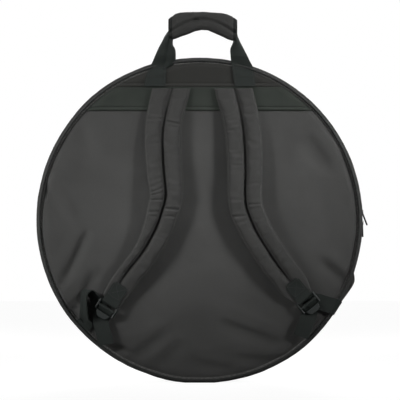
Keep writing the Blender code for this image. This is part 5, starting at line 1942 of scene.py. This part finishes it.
# %% Floor, sky and lamps
WHITE = (1.0, 1.0, 1.0, 1.0)
# How brightly the floor glows, and how much of what the camera sees there is the glow
FLOOR_GLOW = 1.26
GLOW_SHARE = 0.75
SKY_LIGHT = 0.018


def make_floor():
    mesh = bpy.data.meshes.new("floor")
    shape = bmesh.new()
    bmesh.ops.create_grid(shape, x_segments=1, y_segments=1, size=2.4)
    shape.to_mesh(mesh)
    shape.free()
    finish = Finish("pale floor", roughness=0.9)
    patches = finish.noise(finish.place(), 0.3)
    pale = finish.tones(patches, WHITE[:3], (0.3, 0.80), (0.7, 0.84))
    finish.feed(finish.shader.inputs["Base Color"], pale)
    glow = finish.node("ShaderNodeEmission", {}, {"Color": WHITE, "Strength": FLOOR_GLOW})
    seen = finish.node("ShaderNodeLightPath", {}, {}, "Is Camera Ray") * GLOW_SHARE
    layers = {0: seen, 1: Wire(finish, finish.shader.outputs[0]), 2: glow}
    blend = finish.node("ShaderNodeMixShader", {}, layers)
    finish.feed(finish.nodes["Material Output"].inputs["Surface"], blend)
    mesh.materials.append(finish.material)
    add_object("floor", mesh)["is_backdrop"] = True


def make_sky():
    world = bpy.data.worlds.new("white room")
    sky = Tree(world)
    ambient = sky.nodes["Background"]
    ambient.inputs["Color"].default_value = WHITE
    ambient.inputs["Strength"].default_value = SKY_LIGHT
    white = sky.node("ShaderNodeBackground", {}, {"Color": WHITE})
    camera, glossy, through = (sky.node("ShaderNodeLightPath", {}, {}, f"Is {kind} Ray")
                               for kind in ("Camera", "Glossy", "Transmission"))
    layers = {0: camera | glossy | through, 1: Wire(sky, ambient.outputs[0]), 2: white}
    blend = sky.node("ShaderNodeMixShader", {}, layers)
    sky.feed(sky.nodes["World Output"].inputs["Surface"], blend)
    bpy.context.scene.world = world


# Each lamp's place, the spot it looks at, size, power in watts and spread in degrees
LAMPS = {
    "left lamp": ((-1.20, -0.85, 0.75), (-0.20, 0.0, 0.33), (0.45, 0.45), 0.82, 23),
    "right lamp": ((1.20, -0.85, 0.85), (0.20, 0.0, 0.40), (0.45, 0.45), 0.86, 23),
    "top lamp": ((0.0, -1.25, 0.98), (0.0, 0.0, 0.72), (0.40, 0.30), 0.36, 32),
    "back lamp": ((0.3, 2.0, 1.3), (0.0, 0.0, 0.30), (1.8, 1.2), 2.4, 32),
}


def make_lamps():
    for name, (place, target, (wide, tall), power, spread) in LAMPS.items():
        lamp = bpy.data.lights.new(name, "AREA")
        lamp.shape = "RECTANGLE"
        lamp.size, lamp.size_y, lamp.energy = wide, tall, power
        lamp.spread = math.radians(spread)
        holder = add_object(name, lamp)
        holder.location = place
        aim = Vector(target) - Vector(place)
        holder.rotation_euler = aim.to_track_quat("-Z", "Y").to_euler()


make_floor()
make_sky()
make_lamps()
print("floor, sky and", len(LAMPS), "lamps ready")

# %% Size and finish
low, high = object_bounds()
print("dressed box", [round(v, 4) for v in (*low, *high)])
